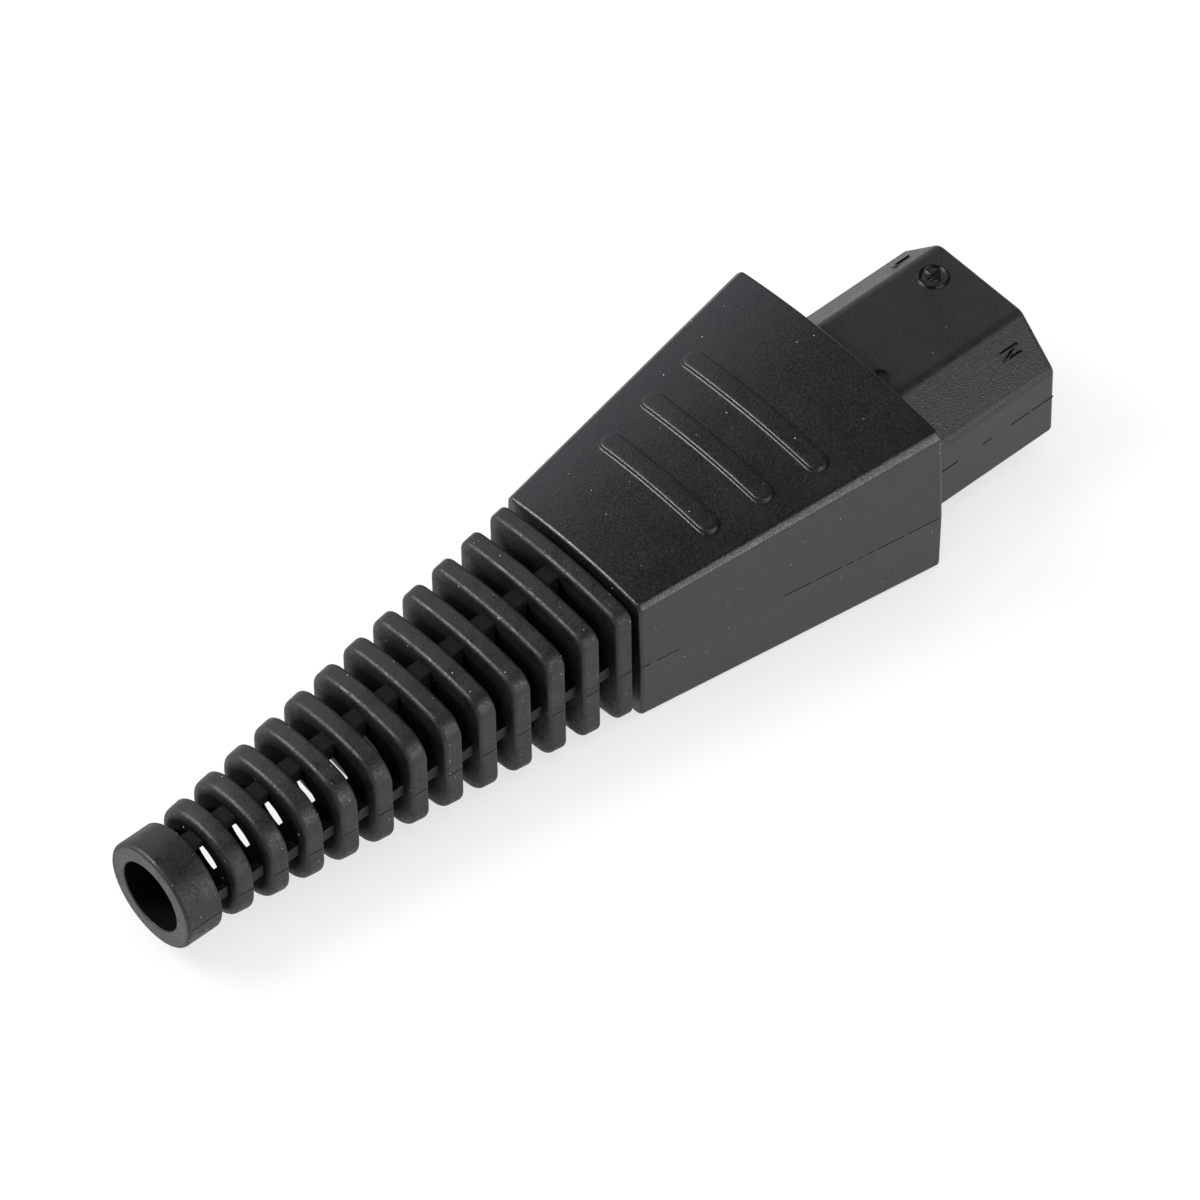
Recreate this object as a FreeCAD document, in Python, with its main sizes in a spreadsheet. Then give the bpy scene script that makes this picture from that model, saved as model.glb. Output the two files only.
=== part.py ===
import FreeCAD, Part
import Sketcher
import math
import os
import re

# Rewireable appliance connector: a nose with three pin slots, a tapered cover and a ribbed bend-relief boot.
# The cable's axis runs along X with the nose at +X, and the connector rests on the cover's flat underside.
# The origin is on that underside, below the axis, where the boot meets the cover. Lengths are in millimetres.

sizes = {
    # cover, with a rear and a front value where it tapers
    "axis_height": 8.5,            # cable axis and mould line above the underside
    "cover_length": 38.4,
    "cover_rear_width": 22.0,      # across the mould line
    "cover_front_width": 33.5,
    "cover_rear_rise": 9.35,       # top edges above the axis
    "cover_front_rise": 13.05,
    "cover_rear_crown": 0.86,      # middle of the top above its edges
    "cover_front_crown": 1.27,
    "cover_draft": 1.75,           # lean of the sides, degrees
    "cover_wall": 2.0,
    "cover_edge_round": 0.8,
    "cover_rim": 0.4,              # bevel round both ends
    "fit_gap": 0.15,               # between mouldings that slide together
    # grip ribs on the cover
    "rib_front_x": 26.0,
    "rib_pitch": 6.85,
    "rib_width": 2.4,
    "rib_height": 0.5,
    "rib_bevel": 0.25,
    "rib_margin": 3.9,             # from a rib's end to the cover's side
    # boot, from the first ring's rounded rectangle to nearly round rings at the tail
    "boot_reach": 59.0,
    "boot_gap": 0.8,               # between the cover and the first ring
    "first_ring": 2.1,
    "ring_width": 21.2,
    "ring_rise": 10.1,
    "ring_drop": 8.4,
    "ring_corner": 1.5,
    "ring_crown_radius": 64.0,
    "ring_gap": 2.2,
    "collar_length": 4.6,
    "collar_wall": 2.15,           # round the cable way, as are the next three
    "collar_round": 0.7,
    "tail_wall": 1.65,             # last ring
    "tail_crown": 1.8,             # its crown's radius beyond its half width
    "tail_flat": 0.9,              # half of each side between its corners
    "bridge_width": 2.2,           # top and bottom bridges, across
    "bridge_height": 1.6,          # side bridges, up and down
    "bridge_recess": 1.1,          # bridges below the rings' outline
    "cable_bore": 8.6,
    "neck_width": 14.8,
    "neck_wall": 1.0,
    "neck_corner": 2.0,
    "boot_lip": 0.75,              # inner flange beyond the neck
    "boot_flange": 1.8,
    # nose and carrier
    "nose_reach": 21.0,
    "nose_width": 24.0,
    "nose_height": 15.3,
    "nose_drop": 5.75,             # underside of the nose below the axis
    "nose_chamfer": 5.4,
    "nose_corner": 1.6,            # long edges of the cut-off corners
    "nose_round": 0.7,             # edges of the front and underside
    "dimple_radius": 1.25,         # moulding mark on the nose, beside the cover
    "dimple_depth": 0.4,
    "dimple_x": 2.6,               # in front of the cover
    "dimple_y": -3.55,
    "flange_thickness": 2.2,
    "flange_recess": 0.8,
    "pin_pitch": 14.0,
    "earth_offset": 4.0,
    "slot_width": 2.6,
    "slot_height": 4.8,
    "entry_wall": 2.0,
    "chamber_wall": 1.4,
    "cavity_cap": 0.8,
    # contacts and the spring bands round their leaves
    "contact_width": 4.0,
    "contact_height": 4.2,
    "contact_strip": 0.6,
    "contact_straight": 6.0,
    "contact_throat": 1.7,
    "contact_mouth": 2.8,
    "throat_length": 4.0,
    "mouth_length": 2.0,
    "contact_gap": 0.2,
    "spring_strip": 0.4,
    "spring_length": 3.0,
    "spring_slit": 1.0,
    "spring_gap": 0.05,
    # terminals and their screws
    "terminal_length": 7.0,
    "terminal_width": 5.6,
    "terminal_height": 7.6,
    "wire_hole": 3.4,
    "terminal_thread": 3.0,
    "terminal_head": 5.0,
    "terminal_head_height": 1.8,
    "thread_gap": 0.1,
    "slot_blade": 0.8,
    "slot_depth": 0.8,
    # retainer
    "retainer_wall": 1.2,
    "driver_hole": 4.0,
    "driver_gap": 0.4,
    # cord clamp
    "clamp_length": 5.0,
    "clamp_thickness": 1.3,
    "clamp_thread": 2.5,
    "clamp_head": 4.5,
    "clamp_head_height": 1.6,
    # cover screw and its brass thread
    "cover_thread": 3.0,
    "cover_head": 5.5,
    "cover_head_sink": 0.2,
    "insert_wall": 0.6,
    "insert_length": 4.5,
    "boss_wall": 0.8,
    "boss_gap": 0.65,              # from the boss to the cord clamp and to the retainer
}
gap_count = 12
rib_count = 3
least_cut = 0.01  # mm3 that every cut has to take away

doc = FreeCAD.newDocument("rewireable_connector")
sheet = doc.addObject("Spreadsheet::Sheet", "dims")
for row, (alias, size) in enumerate(sizes.items(), start=1):
    sheet.set(f"A{row}", alias)
    sheet.set(f"B{row}", str(size))
    sheet.setAlias(f"B{row}", alias)
doc.recompute()


def formula(text):
    # each size's name becomes its cell, and brackets keep the result whole inside a longer formula
    def cell(word):
        return f"dims.{word[0]}" if word[0] in sizes else word[0]
    return "(" + re.sub(r"(?<![\w.])[a-z]\w*", cell, text) + ")"


def number(text):
    return float(sheet.evalExpression(formula(text)))


# Stations along X and heights along Z, each worked out from the sizes above.
nose_tip = formula("cover_length + nose_reach")
flange_rear = formula("cover_length - flange_recess - flange_thickness")
chamber_front = formula(f"{flange_rear} - chamber_wall")
terminal_front = formula(f"{chamber_front} - fit_gap")
terminal_rear = formula(f"{terminal_front} - terminal_length")
terminal_middle = formula(f"{terminal_front} - terminal_length / 2")
chamber_rear = formula(f"{terminal_rear} - fit_gap")
retainer_rear = formula(f"{chamber_rear} - retainer_wall")
insert_radius = formula("cover_thread / 2 + thread_gap + insert_wall")
boss_radius = formula(f"{insert_radius} + thread_gap + boss_wall")
cover_screw_x = formula(f"{retainer_rear} - boss_gap - {boss_radius}")
clamp_front = formula(f"{cover_screw_x} - {boss_radius} - boss_gap")
clamp_middle = formula(f"{clamp_front} - clamp_length / 2")
clamp_rear = formula(f"{clamp_front} - clamp_length")
tray_rear = formula("cover_wall + boot_flange + 2 * fit_gap")
collar_front = formula("collar_length - boot_reach")
ring_pitch = formula(f"(-{collar_front} - boot_gap - first_ring - ring_gap) / {gap_count - 1}")

tray_top = formula("axis_height - cable_bore / 2")
terminal_floor = formula("axis_height - terminal_height / 2")
terminal_top = formula("axis_height + terminal_height / 2")
chamber_top = formula(f"{terminal_top} + terminal_head_height + driver_gap")
cavity_width = formula("contact_width + 2 * contact_gap")
cavity_height = formula("contact_height + 2 * (spring_gap + spring_strip + contact_gap)")
contact_length = formula(f"{nose_tip} - entry_wall - contact_gap - {terminal_front}")
clamp_screw_y = formula("cable_bore / 2 + clamp_thickness + clamp_head / 2 + fit_gap")
collar_radius = formula("cable_bore / 2 + collar_wall")
tail_half = formula("cable_bore / 2 + tail_wall")
neck_half_width = formula("neck_width / 2")
neck_half_height = formula("cable_bore / 2 + neck_wall")

# Each pole's name with its place across Y and its height above the axis.
poles = {
    "live": (formula("pin_pitch / 2"), "0"),
    "neutral": (formula("-pin_pitch / 2"), "0"),
    "earth": ("0", formula("earth_offset")),
}


def along_cover(rear, front, x):
    # a cover size at station x, straight from its rear to its front value
    return formula(f"{rear} + ({front} - {rear}) * {x} / cover_length")


def carrier_half(x):
    # half the width that the cover leaves free for the carrier at station x, on the cover's floor
    half = along_cover("cover_rear_width", "cover_front_width", x)
    return formula(f"{half} / 2 - cover_wall - (axis_height - cover_wall) * tan(cover_draft) - fit_gap")


def new_body(label):
    return doc.addObject("PartDesign::Body", label)


def sketch_on(body, name, role, offset="0", across="0"):
    # a sketch parallel to one of the body's own planes, moved along its normal and its first axis
    plane = next(item for item in body.Origin.OriginFeatures if item.Role == role)
    sketch = body.newObject("Sketcher::SketchObject", name)
    sketch.AttachmentSupport = [(plane, "")]
    sketch.MapMode = "FlatFace"
    sketch.setExpression("AttachmentOffset.Base.z", formula(offset))
    sketch.setExpression("AttachmentOffset.Base.x", formula(across))
    return sketch


def bind(sketch, kind, geometry, size):
    index = sketch.addConstraint(Sketcher.Constraint(kind, *geometry, number(size)))
    sketch.setExpression(f"Constraints[{index}]", formula(size))


def arc_between(start, end, radius):
    chord = end - start
    to_left = FreeCAD.Vector(-chord.y, chord.x, 0).normalize()
    centre = (start + end) * 0.5 + to_left * math.sqrt(radius ** 2 - chord.Length ** 2 / 4)
    angles = [math.atan2(point.y - centre.y, point.x - centre.x) for point in (start, end)]
    return Part.ArcOfCircle(Part.Circle(centre, FreeCAD.Vector(0, 0, 1), radius), *angles)


def outline(sketch, corners, arcs=None):
    # a closed outline, counter-clockwise, through corners given as pairs of formulas
    # arcs gives the radius of each edge that bulges outwards, by the edge's number
    arcs = arcs or {}
    points = [FreeCAD.Vector(number(u), number(v), 0) for u, v in corners]
    first = sketch.GeometryCount
    count = len(points)
    for i, start in enumerate(points):
        end = points[(i + 1) % count]
        if i in arcs:
            sketch.addGeometry(arc_between(start, end, number(arcs[i])))
        else:
            sketch.addGeometry(Part.LineSegment(start, end))
    for i, (u, v) in enumerate(corners):
        before = first + (i - 1) % count
        sketch.addConstraint(Sketcher.Constraint("Coincident", before, 2, first + i, 1))
        bind(sketch, "DistanceX", (-1, 1, first + i, 1), u)
        bind(sketch, "DistanceY", (-1, 1, first + i, 1), v)
    for i, radius in arcs.items():
        bind(sketch, "Radius", (first + i,), radius)


def rectangle(sketch, left, bottom, right, top):
    outline(sketch, [(left, bottom), (right, bottom), (right, top), (left, top)])


def rounded_rectangle(sketch, half_width, half_height, middle, corner):
    # half sizes about the point (0, middle), with the same radius at each corner
    half_width, half_height, corner = map(formula, (half_width, half_height, corner))
    inner = formula(f"{half_width} - {corner}")
    low = formula(f"{middle} - {half_height}")
    high = formula(f"{middle} + {half_height}")
    outline(sketch, [
        (f"-{inner}", low), (inner, low),
        (half_width, f"{low} + {corner}"), (half_width, f"{high} - {corner}"),
        (inner, high), (f"-{inner}", high),
        (f"-{half_width}", f"{high} - {corner}"), (f"-{half_width}", f"{low} + {corner}"),
    ], {1: corner, 3: corner, 5: corner, 7: corner})


def circle(sketch, u, v, radius):
    centre = FreeCAD.Vector(number(u), number(v), 0)
    index = sketch.addGeometry(Part.Circle(centre, FreeCAD.Vector(0, 0, 1), number(radius)))
    bind(sketch, "DistanceX", (-1, 1, index, 3), u)
    bind(sketch, "DistanceY", (-1, 1, index, 3), v)
    bind(sketch, "Radius", (index,), radius)


def extrude(body, kind, sketch, length, reverse=False):
    # a Pad goes along the sketch's normal and a Pocket against it, unless reversed
    feature = body.newObject(f"PartDesign::{kind}", f"{sketch.Name}_{kind.lower()}")
    feature.Profile = sketch
    feature.setExpression("Length", formula(length))
    feature.Reversed = reverse
    return feature


def loft(body, kind, sections):
    feature = body.newObject(f"PartDesign::{kind}", f"{sections[0].Name}_loft")
    feature.Profile = sections[0]
    feature.Sections = sections[1:]
    feature.Ruled = True
    return feature


def revolve(body, kind, sketch):
    # turns the sketch round its own upright axis
    feature = body.newObject(f"PartDesign::{kind}", f"{sketch.Name}_turned")
    feature.Profile = sketch
    feature.ReferenceAxis = (sketch, ["V_Axis"])
    feature.Angle = 360
    return feature


def round_edges(body, base, radius, wanted):
    # fillets the edges of the base feature that wanted() picks by their place
    doc.recompute()
    edges = [f"Edge{i}" for i, edge in enumerate(base.Shape.Edges, start=1) if wanted(edge)]
    feature = body.newObject("PartDesign::Fillet", f"{base.Name}_rounds")
    feature.Base = (base, edges)
    feature.setExpression("Radius", formula(radius))
    return feature


def lies_at_x(edge, x):
    box = edge.BoundBox
    return abs(box.XMin - x) < 1e-4 and abs(box.XMax - x) < 1e-4


def runs_along_x(edge):
    box = edge.BoundBox
    return box.XLength > box.YLength + box.ZLength


def place(body, x, y, z):
    for axis, distance in zip("xyz", (x, y, z)):
        body.setExpression(f"Placement.Base.{axis}", formula(distance))


def cover_form(x, inset, floor):
    # the cover's half widths at the mould line, floor and top edges, and its top's height and crown
    # at station x, all moved in by inset
    x, inset = map(formula, (x, inset))
    half = formula(f"{along_cover('cover_rear_width', 'cover_front_width', x)} / 2 - {inset}")
    rise = formula(f"{along_cover('cover_rear_rise', 'cover_front_rise', x)} - {inset}")
    floor_half = formula(f"{half} - (axis_height - {floor}) * tan(cover_draft)")
    top_half = formula(f"{half} - {rise} * tan(cover_draft)")
    top = formula(f"axis_height + {rise}")
    crown = along_cover("cover_rear_crown", "cover_front_crown", x)
    return half, floor_half, top_half, top, crown


def sharp_section(body, name, x, inset, floor):
    # sides that lean in above and below the mould line, a flat floor and a crowned top
    half, floor_half, top_half, top, crown = cover_form(x, inset, floor)
    sketch = sketch_on(body, name, "YZ_Plane", x)
    outline(sketch, [
        (f"-{floor_half}", floor), (floor_half, floor), (half, "axis_height"),
        (top_half, top), (f"-{top_half}", top), (f"-{half}", "axis_height"),
    ], {3: f"({top_half} ^ 2 + {crown} ^ 2) / (2 * {crown})"})
    return sketch


def rounded_section(body, name, x, inset, corner):
    # the same outline with an arc at each corner that runs smoothly into the side, the floor and the crown
    half, floor_half, top_half, top, crown = cover_form(x, inset, inset)
    lean_sin = formula("sin(cover_draft)")
    lean_cos = formula("cos(cover_draft)")
    crown_radius = formula(f"({top_half} ^ 2 + {crown} ^ 2) / (2 * {crown})")
    slope_sin = formula(f"{top_half} / {crown_radius}")
    slope_cos = formula(f"1 - {crown} / {crown_radius}")
    turn_sin = formula(f"{lean_sin} * {slope_cos} + {lean_cos} * {slope_sin}")
    turn_cos = formula(f"{lean_cos} * {slope_cos} - {lean_sin} * {slope_sin}")
    top_back = formula(f"{corner} * (1 - {turn_sin}) / {turn_cos}")
    floor_back = formula(f"{corner} * (1 - {lean_sin}) / {lean_cos}")
    floor_y = formula(f"{floor_half} - {floor_back}")
    low_y = formula(f"{floor_half} + {floor_back} * {lean_sin}")
    low_z = formula(f"{inset} + {floor_back} * {lean_cos}")
    high_y = formula(f"{top_half} + {top_back} * {lean_sin}")
    high_z = formula(f"{top} - {top_back} * {lean_cos}")
    crown_y = formula(f"{top_half} - {top_back} * {slope_cos}")
    crown_z = formula(f"{top} + {top_back} * {slope_sin}")
    sketch = sketch_on(body, name, "YZ_Plane", x)
    outline(sketch, [
        (f"-{floor_y}", inset), (floor_y, inset), (low_y, low_z), (half, "axis_height"), (high_y, high_z),
        (crown_y, crown_z), (f"-{crown_y}", crown_z), (f"-{high_y}", high_z), (f"-{half}", "axis_height"),
        (f"-{low_y}", low_z),
    ], {1: corner, 4: corner, 5: f"{crown_y} / {slope_sin}", 6: corner, 9: corner})
    return sketch


def make_grip_ribs():
    # round-ended bars across the top, whose upper faces follow the cover's crown and slope
    raised = new_body("rib_surface")
    rear = sharp_section(raised, "rib_rear", "0", "-rib_height", "0")
    front = sharp_section(raised, "rib_front", "cover_length", "-rib_height", "0")
    loft(raised, "AdditiveLoft", [rear, front])
    bars = []
    for i in range(rib_count):
        x = formula(f"rib_front_x - {i} * rib_pitch")
        half = along_cover("cover_rear_width", "cover_front_width", x)
        reach = formula(f"{half} / 2 - rib_margin - rib_width / 2")
        bar = doc.addObject("Part::Box", f"rib_bar_{i + 1}")
        bar.setExpression("Length", formula("rib_width"))
        bar.setExpression("Width", formula(f"2 * {reach}"))
        place(bar, f"{x} - rib_width / 2", f"-{reach}", "axis_height + cover_rear_rise - cover_wall / 2")
        bars.append(bar)
        for side in ("-", "+"):
            end = doc.addObject("Part::Cylinder", f"rib_end_{i + 1}")
            end.setExpression("Radius", formula("rib_width / 2"))
            place(end, x, f"{side}{reach}", "axis_height + cover_rear_rise - cover_wall / 2")
            bars.append(end)
    for bar in bars:
        bar.setExpression("Height", formula("cover_front_rise + cover_front_crown"))
    columns = doc.addObject("Part::MultiFuse", "rib_columns")
    columns.Shapes = bars
    columns.Refine = True
    ribs = doc.addObject("Part::Common", "grip_ribs")
    ribs.Base = columns
    ribs.Tool = raised
    doc.recompute()
    bevelled = doc.addObject("Part::Chamfer", "bevelled_ribs")
    bevelled.Base = ribs
    bevel = number("rib_bevel")
    lowest_top = number("axis_height + cover_rear_rise")
    tops = [i for i, edge in enumerate(ribs.Shape.Edges, start=1) if edge.BoundBox.ZMin > lowest_top]
    bevelled.Edges = [(i, bevel, bevel) for i in tops]
    return bevelled


def make_cover():
    body = new_body("cover_shell")
    # the rims at both ends are broken by a small bevel
    stations = [("0", "cover_rim"), ("cover_rim", "0"), ("cover_length - cover_rim", "0"),
                ("cover_length", "cover_rim")]
    loft(body, "AdditiveLoft", [rounded_section(body, f"cover_outline_{i}", x, inset, "cover_edge_round")
                                for i, (x, inset) in enumerate(stations, start=1)])
    cavity_rear = sharp_section(body, "cavity_rear", "cover_wall", "cover_wall", "cover_wall")
    cavity_front = sharp_section(body, "cavity_front", "cover_length", "cover_wall", "cover_wall")
    loft(body, "SubtractiveLoft", [cavity_rear, cavity_front])
    opening = sketch_on(body, "neck_opening", "YZ_Plane")
    rounded_rectangle(opening, f"{neck_half_width} + fit_gap", f"{neck_half_height} + fit_gap",
                      "axis_height", "neck_corner + fit_gap")
    extrude(body, "Pocket", opening, "cover_wall", reverse=True)
    seat = sketch_on(body, "screw_seat", "XZ_Plane", across=cover_screw_x)
    screw_seat_profile(seat)
    revolve(body, "Groove", seat)
    ribbed = doc.addObject("Part::Fuse", "ribbed_cover")
    ribbed.Base = body
    ribbed.Tool = make_grip_ribs()
    ribbed.Refine = True
    # the loft's underside is flat but not a true plane, so the cover is trimmed by the table's plane
    room = doc.addObject("Part::Box", "room_above_table")
    room.setExpression("Length", formula("2 * cover_length"))
    room.setExpression("Width", formula("2 * cover_front_width"))
    room.setExpression("Height", formula("2 * (axis_height + cover_front_rise + cover_front_crown)"))
    place(room, "-cover_length / 2", "-cover_front_width", "0")
    cover = doc.addObject("Part::Common", "flat_cover")
    cover.Base = room
    cover.Tool = ribbed
    return cover


def screw_seat_profile(sketch):
    # the countersink of the cover screw, open below and above the cover's floor
    head = formula("cover_head / 2 + thread_gap")
    thread = formula("cover_thread / 2 + thread_gap")
    outline(sketch, [
        ("0", "-cover_wall"), (head, "-cover_wall"), (head, "cover_head_sink"),
        (thread, f"cover_head_sink + {head} - {thread}"), (thread, "2 * cover_wall"), ("0", "2 * cover_wall"),
    ])


def boot_section(body, name, x, half, rise, drop, crown_radius, corner):
    # a rounded ring outline about the axis: crowned above and below, upright sides, corner arcs that
    # run smoothly into both
    half, crown_radius, corner = map(formula, (half, crown_radius, corner))
    reach = formula(f"sqrt(({crown_radius} - {corner}) ^ 2 - ({half} - {corner}) ^ 2)")
    touch_y = formula(f"{crown_radius} * ({half} - {corner}) / ({crown_radius} - {corner})")
    touch_z = formula(f"{crown_radius} - {crown_radius} * {reach} / ({crown_radius} - {corner})")
    high = formula(f"axis_height + {rise} - {crown_radius} + {reach}")
    low = formula(f"axis_height - {drop} + {crown_radius} - {reach}")
    top = formula(f"axis_height + {rise} - {touch_z}")
    bottom = formula(f"axis_height - {drop} + {touch_z}")
    sketch = sketch_on(body, name, "YZ_Plane", x)
    outline(sketch, [
        (f"-{touch_y}", bottom), (touch_y, bottom), (half, low), (half, high),
        (touch_y, top), (f"-{touch_y}", top), (f"-{half}", high), (f"-{half}", low),
    ], {0: crown_radius, 1: corner, 3: corner, 4: crown_radius, 5: corner, 7: corner})
    return sketch


def along_boot(first, x):
    # a ring size at station x, straight from the first ring's value to the last ring's half width
    share = formula(f"({x} + boot_gap) / ({collar_front} + boot_gap)")
    return formula(f"{first} + ({tail_half} - {first}) * {share}")


def cut_boot_gap(body, number_from_tail):
    # one gap between two rings, cut right through apart from four bridges
    x = formula(f"{collar_front} + {number_from_tail} * {ring_pitch}")
    top = formula(f"axis_height + {along_boot('ring_rise', x)} - bridge_recess")
    bottom = formula(f"axis_height - {along_boot('ring_drop', x)} + bridge_recess")
    side = formula(f"{along_boot('ring_width / 2', x)} - bridge_recess")
    inside = formula("cable_bore / 4")
    sketch = sketch_on(body, f"gap_{gap_count - number_from_tail}", "YZ_Plane", x)
    rectangle(sketch, "-ring_width", "axis_height - ring_width", "ring_width", "axis_height + ring_width")
    half = formula("bridge_width / 2")
    rectangle(sketch, f"-{half}", f"axis_height + {inside}", half, top)
    rectangle(sketch, f"-{half}", bottom, half, f"axis_height - {inside}")
    half = formula("bridge_height / 2")
    rectangle(sketch, inside, f"axis_height - {half}", side, f"axis_height + {half}")
    rectangle(sketch, f"-{side}", f"axis_height - {half}", f"-{inside}", f"axis_height + {half}")
    extrude(body, "Pocket", sketch, "ring_gap", reverse=True)


def make_boot():
    body = new_body("bend_relief_boot")
    first = boot_section(body, "first_ring_outline", "-boot_gap", "ring_width / 2", "ring_rise",
                         "ring_drop", "ring_crown_radius", "ring_corner")
    last = boot_section(body, "last_ring_outline", collar_front, tail_half, tail_half, tail_half,
                        f"{tail_half} + tail_crown", f"{tail_half} - tail_flat")
    loft(body, "AdditiveLoft", [first, last])
    collar = sketch_on(body, "collar", "YZ_Plane", collar_front)
    circle(collar, "0", "axis_height", collar_radius)
    collar_pad = extrude(body, "Pad", collar, "collar_length", reverse=True)
    round_edges(body, collar_pad, "collar_round", lambda edge: lies_at_x(edge, -number("boot_reach")))
    neck = sketch_on(body, "neck", "YZ_Plane", "-boot_gap")
    rounded_rectangle(neck, neck_half_width, neck_half_height, "axis_height", "neck_corner")
    extrude(body, "Pad", neck, "boot_gap + cover_wall")
    flange = sketch_on(body, "inner_flange", "YZ_Plane", "cover_wall")
    rounded_rectangle(flange, f"{neck_half_width} + boot_lip", f"{neck_half_height} + boot_lip",
                      "axis_height", "neck_corner")
    extrude(body, "Pad", flange, "boot_flange")
    for i in range(gap_count):
        cut_boot_gap(body, i)
    bore = sketch_on(body, "cable_way", "YZ_Plane", "-boot_reach")
    circle(bore, "0", "axis_height", "cable_bore / 2")
    extrude(body, "Pocket", bore, "boot_reach + cover_wall + boot_flange", reverse=True)
    return body


def carrier_plan(sketch, rear, front):
    # a plan that follows the cover's inner taper
    rear_half = carrier_half(rear)
    front_half = carrier_half(front)
    outline(sketch, [(rear, f"-{rear_half}"), (front, f"-{front_half}"), (front, front_half), (rear, rear_half)])


def make_nose(body):
    # the plug-in nose, with two corners cut off on the earth side
    half = formula("nose_width / 2")
    bottom = formula("axis_height - nose_drop")
    top = formula(f"{bottom} + nose_height")
    sketch = sketch_on(body, "nose", "YZ_Plane", flange_rear)
    outline(sketch, [
        (f"-{half}", bottom), (half, bottom), (half, f"{top} - nose_chamfer"),
        (f"{half} - nose_chamfer", top), (f"nose_chamfer - {half}", top), (f"-{half}", f"{top} - nose_chamfer"),
    ])
    nose = extrude(body, "Pad", sketch, f"{nose_tip} - {flange_rear}")
    axis = number("axis_height")
    tip = number(nose_tip)
    corners = round_edges(body, nose, "nose_corner",
                          lambda edge: runs_along_x(edge) and edge.BoundBox.ZMin > axis)
    round_edges(body, corners, "nose_round",
                lambda edge: lies_at_x(edge, tip) or runs_along_x(edge) and edge.BoundBox.ZMax < axis)
    dimple = sketch_on(body, "nose_dimple", "XY_Plane", top)
    circle(dimple, "cover_length + dimple_x", "dimple_y", "dimple_radius")
    extrude(body, "Pocket", dimple, "dimple_depth")


def make_carrier(body):
    # the flange that closes the cover, the terminal block behind it and the floor that runs to the rear
    flange = sharp_section(body, "flange", flange_rear, "cover_wall + fit_gap", "cover_wall")
    extrude(body, "Pad", flange, "flange_thickness")
    tray = sketch_on(body, "tray", "XY_Plane", "cover_wall")
    carrier_plan(tray, tray_rear, flange_rear)
    extrude(body, "Pad", tray, f"{tray_top} - cover_wall")
    block = sketch_on(body, "terminal_block", "XY_Plane", "cover_wall")
    carrier_plan(block, chamber_rear, flange_rear)
    extrude(body, "Pad", block, f"{chamber_top} - cover_wall")
    wall = sketch_on(body, "front_wall", "XY_Plane", "cover_wall")
    carrier_plan(wall, chamber_front, flange_rear)
    extrude(body, "Pad", wall, f"axis_height + earth_offset + {cavity_height} / 2 + cavity_cap - cover_wall")
    posts = sketch_on(body, "clamp_posts", "XY_Plane", tray_top)
    outer = carrier_half(clamp_rear)
    rectangle(posts, clamp_rear, "cable_bore / 2", clamp_front, outer)
    rectangle(posts, clamp_rear, f"-{outer}", clamp_front, "-cable_bore / 2")
    extrude(body, "Pad", posts, f"axis_height - {tray_top}")
    boss = sketch_on(body, "screw_boss", "XY_Plane", tray_top)
    circle(boss, cover_screw_x, "0", boss_radius)
    extrude(body, "Pad", boss, "insert_length")


def cut_pole_openings(body):
    # pin slots in the nose's face, contact cavities behind them and open chambers for the terminals
    slots = sketch_on(body, "pin_slots", "YZ_Plane", nose_tip)
    cavities = sketch_on(body, "contact_cavities", "YZ_Plane", chamber_front)
    chambers = sketch_on(body, "terminal_chambers", "YZ_Plane", chamber_rear)
    chamber_half = formula("terminal_width / 2 + fit_gap")
    for y, height in poles.values():
        z = formula(f"axis_height + {height}")
        rectangle(slots, f"{y} - slot_width / 2", f"{z} - slot_height / 2",
                  f"{y} + slot_width / 2", f"{z} + slot_height / 2")
        rectangle(cavities, f"{y} - {cavity_width} / 2", f"{z} - {cavity_height} / 2",
                  f"{y} + {cavity_width} / 2", f"{z} + {cavity_height} / 2")
        rectangle(chambers, f"{y} - {chamber_half}", terminal_floor,
                  f"{y} + {chamber_half}", f"{chamber_top} + cover_wall")
    extrude(body, "Pocket", slots, "entry_wall")
    extrude(body, "Pocket", cavities, f"{nose_tip} - entry_wall - {chamber_front}", reverse=True)
    extrude(body, "Pocket", chambers, f"{chamber_front} - {chamber_rear}", reverse=True)


def make_socket_insert():
    body = new_body("socket_insert")
    make_nose(body)
    make_carrier(body)
    cut_pole_openings(body)
    pilots = sketch_on(body, "clamp_pilots", "XY_Plane", "axis_height")
    for side in ("", "-"):
        circle(pilots, clamp_middle, f"{side}{clamp_screw_y}", "clamp_thread / 2 + thread_gap")
    extrude(body, "Pocket", pilots, f"axis_height - {tray_top}")
    socket = sketch_on(body, "thread_socket", "XY_Plane", f"{tray_top} + insert_length")
    circle(socket, cover_screw_x, "0", f"{insert_radius} + thread_gap")
    extrude(body, "Pocket", socket, "insert_length")
    passage = sketch_on(body, "screw_passage", "XY_Plane", tray_top)
    circle(passage, cover_screw_x, "0", "cover_thread / 2 + 2 * thread_gap")
    extrude(body, "Pocket", passage, f"{tray_top} - cover_wall")
    return body


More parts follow.
